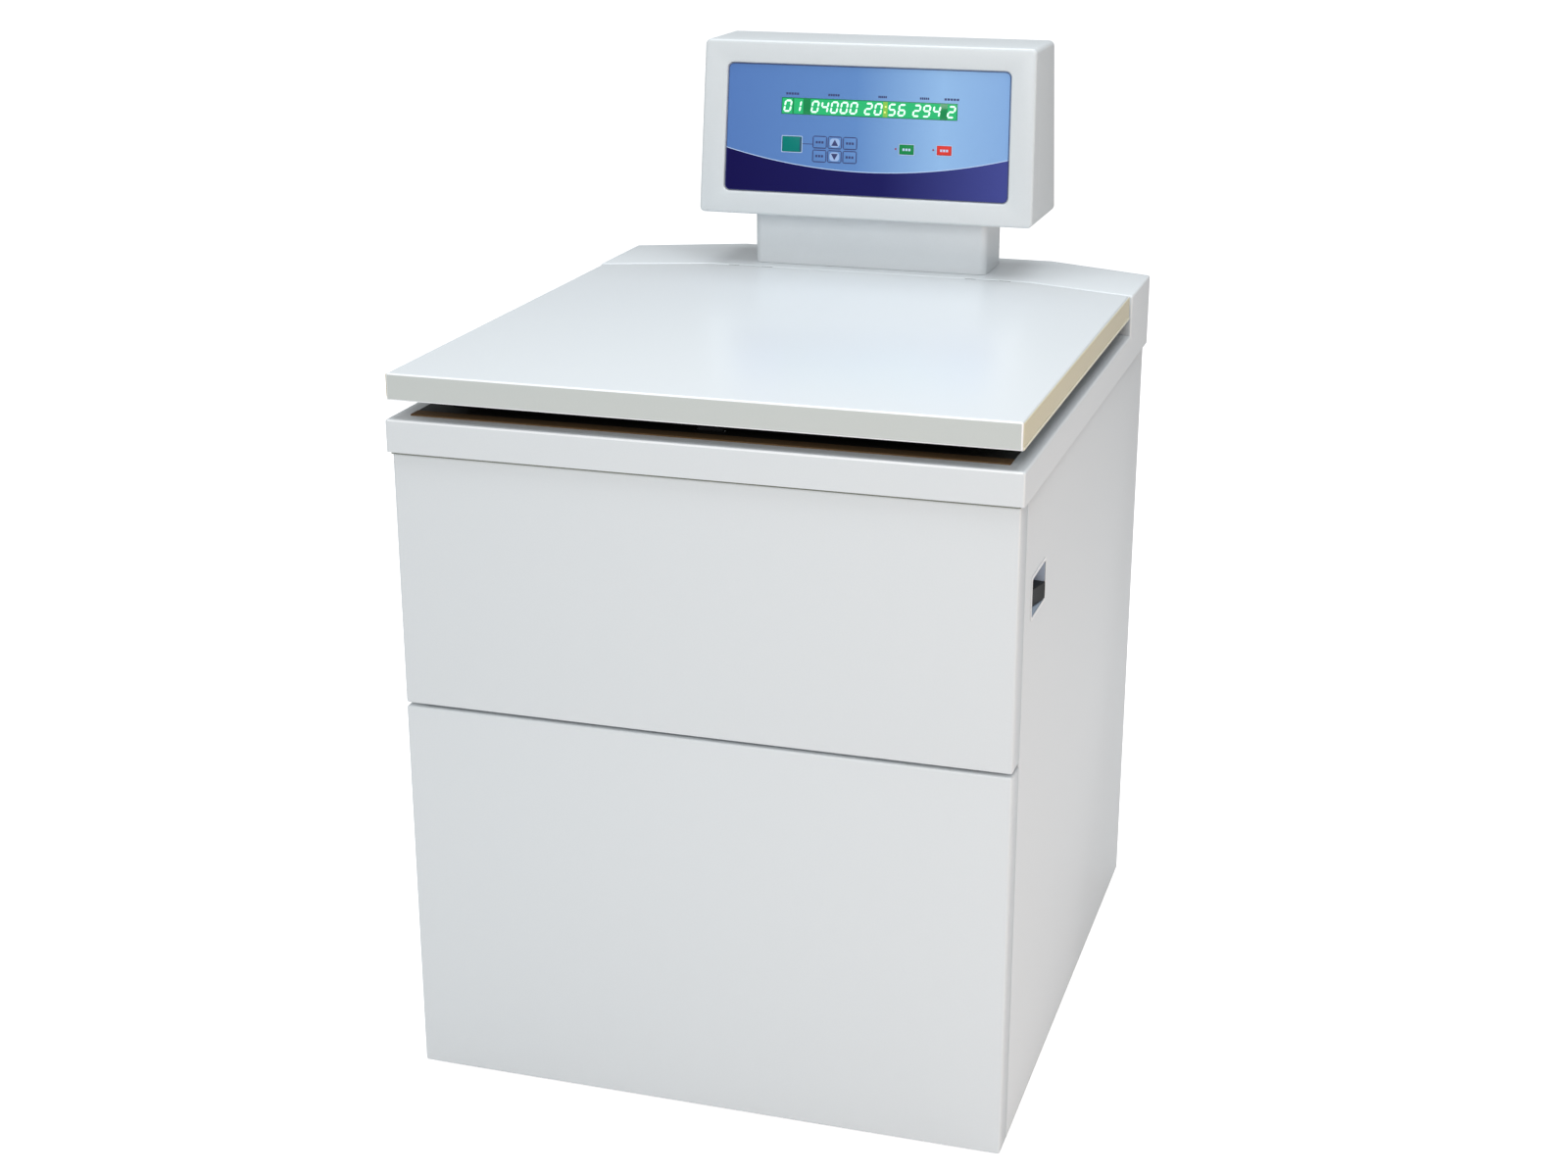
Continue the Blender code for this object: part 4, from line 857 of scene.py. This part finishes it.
well_solid = prism(switch_outline(0, 0.0045), switch_low.x, switch_high.x, "x")
cup = piece("switch_well", well_solid, grey, "cabinet", grey_slot, ("switch_recess",))
well = prism(switch_outline(-0.0015, 0.0030), switch_low.x + 0.0015, switch_high.x + 0.01, "x")
bevel_edges(well, 0.0015, lambda a, b: max(a.x, b.x) < switch_low.x + 0.0020, 3)
carve(cup, well)
reshade(cup, 40)
rocker_black = moulded("rocker_black", (0.010, 0.010, 0.011), 0.48, 500, 0.10, 0.00004, 0.0, 0.25)
dress("switch_rocker", rocker_black, 0.0012, 4, 20)
trim = prism(switch_outline(0.0020, 0.0060), switch_high.x + 0.0006, switch_high.x + 0.0014, "x")
trim_white = moulded("trim_white", (0.880, 0.890, 0.900), 0.30)
trim_ring = piece("switch_trim", trim, trim_white, "cabinet", white_slot)
carve(trim_ring, prism(switch_outline(-0.0012, 0.0035), switch_high.x - 0.01, switch_high.x + 0.01, "x"))
reshade(trim_ring)
catch = solid_box((switch_low.x + 0.0015, switch_y - 0.0300, switch_z + 0.0030),
                  (switch_high.x - 0.0020, switch_y - 0.0200, switch_z + 0.0080))
bevel_edges(catch, 0.0012, lambda a, b: True, 3)
piece("switch_catch", catch, rocker_black, "cabinet", black_slot)

# ------------------------------------------------------------------ console post
# A short folded post with round corners carries the console above the deck.
post_low, post_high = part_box("pedestal")
post_mid = ((post_low.x + post_high.x) / 2, (post_low.y + post_high.y) / 2)
half_x, half_y = (post_high.x - post_low.x) / 2, (post_high.y - post_low.y) / 2
POST_R, POST_SHEET = 0.0100, 0.003
post_solid = prism(rounded(half_x, half_y, POST_R, post_mid, 12), post_low.z, post_high.z)
post = piece("pedestal_post", post_solid, white, "cabinet", white_slot, ("pedestal",))
bore = rounded(half_x - POST_SHEET, half_y - POST_SHEET, POST_R - POST_SHEET, post_mid, 12)
carve(post, prism(bore, post_low.z - 0.01, post_high.z - 0.004))
reshade(post)

# ------------------------------------------------------------------ console
# Two enamelled mouldings: a deep front bezel with a soft-edged recess for the keypad, and a rear shell,
# parted by a fine line 30 mm behind the front and drawn together by four screws. The front leans back and
# the sides draw in towards the top, so the pieces are drawn upright and leaned together at the end.
bezel_low, bezel_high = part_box("console_bezel")
shell_low, shell_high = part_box("console_rear_shell")
mid_z, half_z = (bezel_low.z + bezel_high.z) / 2, (bezel_high.z - bezel_low.z) / 2
CONSOLE_SHIFT, CONSOLE_TAPER = -0.0053, 0.0048
FRONT_LEAN, REAR_LEAN = 0.0194, -0.0160
WALL = 0.003
CONSOLE_R, CAD_R = 0.0068, 0.0090
CONSOLE_X = (bezel_high.x - bezel_low.x) / 2 - CONSOLE_TAPER * (half_z - CAD_R) / (2 * half_z)
CONSOLE_SPLIT = bezel_high.y
console_pieces = []


def rise(z):
    """Height above the console's middle, as a share of its whole height."""
    return (z - mid_z) / (2 * half_z)


CONSOLE_FRONT = bezel_low.y - FRONT_LEAN * rise(bezel_low.z + 0.004)
CONSOLE_BACK = shell_high.y - REAR_LEAN * rise(shell_low.z + 0.006)


def upright_box(name, level=None):
    """A sub-part's box as drawn upright, before the front leans back and the sides draw in."""
    low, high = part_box(name)
    spread = 1 - CONSOLE_TAPER * rise(level or (low.z + high.z) / 2) / CONSOLE_X
    return (Vector(((low.x - CONSOLE_SHIFT) / spread, low.y - FRONT_LEAN * rise(low.z), low.z)),
            Vector(((high.x - CONSOLE_SHIFT) / spread, high.y - FRONT_LEAN * rise(high.z), high.z)))


def console_piece(*settings):
    """A piece drawn upright, to be leaned with the others once the console is complete."""
    made = piece(*settings)
    console_pieces.append(made)
    return made


outline = rounded(CONSOLE_X, half_z, CONSOLE_R, (0, mid_z), 12)
hollow = rounded(CONSOLE_X - WALL, half_z - WALL, CONSOLE_R - WALL, (0, mid_z), 12)
face_low, face_high = upright_box("membrane_panel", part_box("membrane_panel")[0].z + 0.007)
face_z, face_half_x, face_half_z = (face_low.z + face_high.z) / 2, face_high.x, (face_high.z - face_low.z) / 2
# the console takes a slightly darker copy of the cabinet's white: painted shade
console_shaded_white = enamel("console_painted_shade_enamel", (0.685, 0.718, 0.735))
front_bm = prism(outline, CONSOLE_FRONT, CONSOLE_SPLIT, "y")
bevel_edges(front_bm, 0.0036, lambda a, b: max(a.y, b.y) < CONSOLE_FRONT + 0.0005, 6)
bezel = console_piece("bezel_moulding", front_bm, console_shaded_white, "cabinet", white_slot, ("console_bezel",))
mouth = rounded(face_half_x + 0.0010, face_half_z + 0.0010, 0.0080, (0, face_z), 12)
carve(bezel, prism(mouth, CONSOLE_FRONT - 0.01, face_low.y + 0.0020, "y"))


def on_mouth(a, b):
    """True for the front edge of the recess that takes the keypad."""
    at_front = max(a.y, b.y) < CONSOLE_FRONT + 0.0002
    across = max(abs(a.x), abs(b.x)) < face_half_x + 0.002
    return at_front and across and max(abs(a.z - face_z), abs(b.z - face_z)) < face_half_z + 0.002


work = bmesh.new()
work.from_mesh(bezel.data)
bevel_edges(work, 0.0022, on_mouth, 4)
work.to_mesh(bezel.data)
work.free()
carve(bezel, prism(hollow, face_low.y + 0.006, CONSOLE_SPLIT + 0.01, "y"))
reshade(bezel, 40)
back_bm = prism(outline, shell_low.y, CONSOLE_BACK, "y")
bevel_edges(back_bm, 0.0060, lambda a, b: min(a.y, b.y) > CONSOLE_BACK - 0.0005, 5)
bevel_edges(back_bm, 0.0004, lambda a, b: max(a.y, b.y) < shell_low.y + 0.0002, 1)
shell = console_piece("console_back_moulding", back_bm, console_shaded_white, "cabinet", white_slot,
                      ("console_rear_shell",))
carve(shell, prism(hollow, shell_low.y - 0.01, CONSOLE_BACK - WALL, "y"))
reshade(shell, 40)
console_screws = bmesh.new()
for x in (-0.185, 0.185):
    for z in (mid_z - 0.080, mid_z + 0.080):
        add_screw(console_screws, (x, CONSOLE_BACK + 0.0001, z), (0, 1, 0), 0.0042)
console_piece("console_screws", console_screws, steel_bright, "cabinet", zinc_slot)


# ------------------------------------------------------------------ keypad
# A printed polyester membrane: light blue above a long curve, navy below it, shaded from left to right.
# It is pierced for the display and for nine keys, each of which gives by half a millimetre.
def printed(name, stops, rough=0.34):
    """A satin print whose colour runs from left to right across the keypad, through the given stops."""
    mat, pbr = shader(name)
    place = node(mat, "ShaderNodeTexCoord")
    split = node(mat, "ShaderNodeSeparateXYZ")
    run = node(mat, "ShaderNodeMapRange")
    run.inputs["From Min"].default_value, run.inputs["From Max"].default_value = -face_half_x, face_half_x
    blend = node(mat, "ShaderNodeValToRGB")
    for place_along, colour in stops[1:-1]:
        blend.color_ramp.elements.new(place_along)
    for stop, (place_along, colour) in zip(blend.color_ramp.elements, stops):
        stop.color = (*colour, 1)
    wire(mat, place, "Object", split, "Vector")
    wire(mat, split, "X", run, "Value")
    wire(mat, run, "Result", blend, "Fac")
    wire(mat, blend, "Color", pbr, "Base Color")
    texture = node(mat, "ShaderNodeTexNoise", Scale=2400.0, Detail=1.0)
    wire(mat, place, "Object", texture, "Vector")
    relief = node(mat, "ShaderNodeBump", Strength=0.25, Distance=0.00003)
    wire(mat, texture, "Fac", relief, "Height")
    wire(mat, relief, "Normal", pbr, "Normal")
    pbr.inputs["Roughness"].default_value = rough
    pbr.inputs["Specular IOR Level"].default_value = 0.12
    return mat


sky = printed("membrane_sky", ((0.00, (0.096, 0.205, 0.500)), (0.45, (0.125, 0.265, 0.570)),
                               (0.75, (0.295, 0.500, 0.800)), (1.00, (0.235, 0.410, 0.720))))
navy = printed("membrane_navy", ((0.00, (0.0050, 0.0030, 0.0730)), (0.55, (0.0100, 0.0100, 0.1050)),
                                 (1.00, (0.0580, 0.0700, 0.2900))))
FACE, PLATE_BACK = face_low.y, face_high.y
key_names = ["mode_key", "start_key", "stop_key"] + [f"set_key_{k}" for k in range(1, 7)]
key_boxes = {name: upright_box(name) for name in key_names}
key_spots = {name: ((low + high) / 2, high - low) for name, (low, high) in key_boxes.items()}
window_low, window_high = upright_box("display_window")


def curve_z(x):
    """Height of the print's curve."""
    t = (x - 0.0023) / face_half_x
    return face_z - face_half_z * (0.633 - 0.296 * t * t)


keypad_outline = rounded(face_half_x, face_half_z, 0.007, (0, face_z), 10)
arc_x = [-face_half_x + 2 * face_half_x * k / 48 for k in range(49)]
FAR_X, FAR_LOW, FAR_HIGH = 0.3, 0.5, 1.3
curve_line = [(x, curve_z(x)) for x in [-FAR_X] + arc_x + [FAR_X]]
upper = console_piece("keypad_upper", prism(keypad_outline, FACE, PLATE_BACK, "y"), sky,
                      "cabinet", "membrane_blue", ("membrane_panel",))
below = [(-FAR_X, FAR_LOW), (FAR_X, FAR_LOW)] + curve_line[::-1]
carve(upper, prism(below, FACE - 0.01, PLATE_BACK + 0.01, "y"))
KEY_GAP = 0.0003
for low, high in [*key_boxes.values(), (window_low, window_high)]:
    carve(upper, solid_box((low.x - KEY_GAP, FACE - 0.01, low.z - KEY_GAP),
                           (high.x + KEY_GAP, FACE + 0.01, high.z + KEY_GAP)))
reshade(upper)
lower = console_piece("keypad_lower", prism(keypad_outline, FACE, PLATE_BACK, "y"), navy,
                      "cabinet", "membrane_blue")
above = curve_line + [(FAR_X, FAR_HIGH), (-FAR_X, FAR_HIGH)]
carve(lower, prism(above, FACE - 0.01, PLATE_BACK + 0.01, "y"))
reshade(lower)

# prints and keys: all lettering is left as small plain bars, printed as films a few hundredths thick
FILM, THIN_FILM, DEEP_FILM = 0.00006, 0.00005, 0.00012
dark_print_and_shade = moulded("dark_print_and_shade", (0.030, 0.040, 0.150), 0.40, 900, 0.05, 0.00001)
print_halo = moulded("print_halo", (0.330, 0.480, 0.780), 0.40, 900, 0.03, 0.00001)
print_light = moulded("print_light", (0.520, 0.660, 0.900), 0.40, 900, 0.03, 0.00001)
on_face = Matrix.Translation((0, FACE + 0.00002, 0)) @ Matrix.Rotation(pi / 2, 4, "X")


def bar(x, z, wide, high):
    u, v = wide / 2, high / 2
    return [(x - u, z - v), (x + u, z - v), (x + u, z + v), (x - u, z + v)]


def border(bm, x, z, wide, high, radius, line, place, thick):
    """A thin frame with round corners, printed on a face."""
    outer = rounded(wide / 2, high / 2, radius, (x, z), 5)
    inner_line = rounded(wide / 2 - line, high / 2 - line, max(radius - line, 0.0003), (x, z), 5)
    rings = [[bm.verts.new(place @ Vector((u, v, h))) for u, v in points]
             for points, h in ((outer, 0), (outer, thick), (inner_line, thick), (inner_line, 0))]
    for a, b in zip(rings, rings[1:] + rings[:1]):
        for i in range(len(a)):
            j = (i + 1) % len(a)
            bm.faces.new((a[i], a[j], b[j], b[i]))


light = bmesh.new()
dark = bmesh.new()
rim_points = [(x, curve_z(x)) for x in arc_x]
for (xa, za), (xb, zb) in zip(rim_points, rim_points[1:]):
    stroke = [(xa, za + 0.0001), (xb, zb + 0.0001), (xb, zb + 0.0010), (xa, za + 0.0010)]
    add_prints(light, [stroke], on_face, FILM)
# the dark frame round the keypad's edge is painted shade from the recess's lip; the other dark marks are
# print
border(dark, 0, face_z, 2 * face_half_x - 0.0004, 2 * face_half_z - 0.0004, 0.0068, 0.0008, on_face, FILM)
mode, mode_size = key_spots["mode_key"]
border(light, mode.x, mode.z, mode_size.x + 0.0024, mode_size.z + 0.0024, 0.0012, 0.0008, on_face, FILM)
add_prints(dark, [bar(-0.0771, mode.z + 0.0010, 0.0140, 0.0009)], on_face, THIN_FILM)
for name in ("start_key", "stop_key"):
    spot, size = key_spots[name]
    border(light, spot.x, spot.z, size.x + 0.0020, size.z + 0.0020, 0.0010, 0.0007, on_face, FILM)
for number in range(1, 7):
    spot, size = key_spots[f"set_key_{number}"]
    border(dark, spot.x, spot.z, size.x + 0.0026, size.z + 0.0026, 0.0030, 0.0013, on_face, THIN_FILM)
DASHES, LABEL_Z = 5, window_high.z + 0.0052
for x, wide in ((-0.0995, 0.0180), (-0.0440, 0.0155), (0.0208, 0.0115), (0.0760, 0.0125), (0.1115, 0.0200)):
    pitch = wide / DASHES
    for k in range(DASHES):
        dash = bar(x - wide / 2 + pitch * (k + 0.5), LABEL_Z, pitch * 0.78, 0.0028)
        add_prints(dark, [dash], on_face, THIN_FILM)
console_piece("keypad_light_print", light, print_light, "cabinet", "membrane_blue")
console_piece("keypad_dark_print", dark, dark_print_and_shade, "cabinet", "membrane_blue")

key_colours = {"mode_key": ("key_teal", (0.001, 0.200, 0.170)),
               "start_key": ("key_green", (0.010, 0.250, 0.070)),
               "stop_key": ("key_red", (0.730, 0.045, 0.035))}
for name, (spot, size) in key_spots.items():
    body_bm = solid_box(*key_boxes[name])
    bevel_edges(body_bm, 0.0004, lambda a, b: True, 3)
    if name in key_colours:
        slot_name, colour = key_colours[name]
        finish_mat = moulded(name + "_print", colour, 0.36, 900, 0.03, 0.00002, 0.0, 0.15)
    else:
        slot_name, finish_mat = "membrane_blue", sky
    console_piece(name.replace("key", "button"), body_bm, finish_mat, name, slot_name, (name,))
    front_of_key = (spot.x, key_boxes[name][0].y + 0.00002, spot.z)
    face = Matrix.Translation(front_of_key) @ Matrix.Rotation(pi / 2, 4, "X")
    legend = bmesh.new()
    if name in ("set_key_2", "set_key_5"):
        flip = -1 if name == "set_key_5" else 1
        arrow = [(-0.0046, -0.0038 * flip), (0.0046, -0.0038 * flip), (0, 0.0042 * flip)]
        add_prints(legend, [arrow[::flip]], face, 0.00008)
        halo = bmesh.new()
        add_prints(halo, [rounded(size.x / 2 - 0.0018, size.z / 2 - 0.0012, 0.0040)], face, 0.00004)
        console_piece(name.replace("key", "halo"), halo, print_halo, name, slot_name)
    elif name == "mode_key":
        add_prints(legend, [bar(size.x / 2 - 0.0012, 0, 0.0016, size.z - 0.0016)], face, 0.00004)
    else:
        for k in range(3):
            add_prints(legend, [bar(-0.0038 + 0.0038 * k, 0, 0.0028, 0.0030)], face, THIN_FILM)
    legend_mat = print_light if name in ("stop_key", "start_key") else dark_print_and_shade
    console_piece(name.replace("key", "legend"), legend, legend_mat, name, slot_name)

# two small pilot lamps stand to the left of the start and stop keys
lamp_red = moulded("lamp_red", (0.300, 0.030, 0.060), 0.25, 900, 0.03, 0.00001, 0.5)
for name in ("start_key", "stop_key"):
    spot, size = key_spots[name]
    lens = bmesh.new()
    add_turned(lens, [(0, 0.0004), (0.0008, 0.00035), (0.0013, 0.0001), (0.0014, -0.0002), (0, -0.0002)],
               stand((spot.x - size.x / 2 - 0.0048, FACE, spot.z + 0.0004), (0, -1, 0)), 20)
    console_piece(name.replace("key", "lamp"), lens, lamp_red, "cabinet", "key_red")

# ------------------------------------------------------------------ display
# A dark green filter window. Behind it slanted seven-segment figures glow nearly white in bright green
# fields, one field for each group, with an amber colon in the clock.
glass, glass_pbr = shader("display_filter")
grain(glass, glass_pbr, (0.003, 0.120, 0.040), 700, 0.08, 0.16, 0.02, 0.00001)
glass_pbr.inputs["Emission Color"].default_value = (0.0, 0.24, 0.06, 1)
glass_pbr.inputs["Emission Strength"].default_value = 0.55


def glowing(name, colour, strength):
    mat, pbr = shader(name)
    grain(mat, pbr, [c * 0.3 for c in colour], 500, 0.05, 0.3, 0.04, 0.00001)
    pbr.inputs["Emission Color"].default_value = (*colour, 1)
    pbr.inputs["Emission Strength"].default_value = strength
    return mat


field_glow = glowing("display_field", (0.010, 0.520, 0.170), 0.66)
digit_glow = glowing("display_digit", (0.720, 1.000, 0.840), 1.10)
amber_glow = glowing("display_amber", (0.900, 0.900, 0.250), 0.90)
pane = solid_box(window_low, window_high)
bevel_edges(pane, 0.0004, lambda a, b: max(a.y, b.y) < window_low.y + 0.0002, 2)
console_piece("display_pane", pane, glass, "cabinet", "display_green", ("display_window",))
window_z = (window_low.z + window_high.z) / 2
PITCH = 0.0129
CLOCK_X, FIELD_HIGH = window_low.x + 0.1385, 0.0190
on_window = Matrix.Translation((0, window_low.y + 0.00002, window_z)) @ Matrix.Rotation(pi / 2, 4, "X")
shown_digits = bmesh.new()
groups = (((0, 1), 0.0084), ((0, 4, 0, 0, 0), 0.0451), ((2, 0), 0.1162), ((5, 6), 0.1475),
          ((2, 9, 4), 0.1800), ((2,), 0.2252))
for group, start in groups:
    for k, digit in enumerate(group):
        x = window_low.x + start + PITCH * k
        figure = [[(x + u, v) for u, v in stroke] for stroke in seven(digit, 0.0102, 0.0156, 0.0023, 0.17)]
        add_prints(shown_digits, figure, on_window, DEEP_FILM)
fields, colon, clock_field = bmesh.new(), bmesh.new(), bmesh.new()
for start, end in ((0.0008, 0.0145), (0.0165, 0.0290), (0.0390, 0.1362), (0.1408, 0.2105), (0.2200, 0.2318)):
    field = bar(window_low.x + (start + end) / 2, 0, end - start, FIELD_HIGH)
    add_prints(fields, [field], on_window, THIN_FILM)
add_prints(clock_field, [bar(CLOCK_X, 0, 0.0060, FIELD_HIGH)], on_window, FILM)
for v, lean in ((0.0034, 0.0005), (-0.0034, -0.0005)):
    add_prints(colon, [bar(CLOCK_X + lean, v, 0.0022, 0.0022)], on_window, DEEP_FILM)
console_piece("display_fields", fields, field_glow, "cabinet", "display_green")
console_piece("display_digits", shown_digits, digit_glow, "cabinet", "display_green")
clock_glow = glowing("display_clock", (0.230, 0.520, 0.060), 0.80)
console_piece("display_clock_field", clock_field, clock_glow, "cabinet", "display_green")
console_piece("display_colon", colon, amber_glow, "cabinet", "display_green")

# the finished console is leaned: its front tips back, its rear tips forward, its sides draw in upwards
for made in console_pieces:
    for vertex in made.data.vertices:
        x, y, z = vertex.co
        lean = FRONT_LEAN if y < CONSOLE_SPLIT - 0.015 else REAR_LEAN if y > CONSOLE_BACK - 0.012 else 0
        spread = 1 - CONSOLE_TAPER * rise(z) / CONSOLE_X
        vertex.co = (x * spread + CONSOLE_SHIFT, y + lean * rise(z), z)
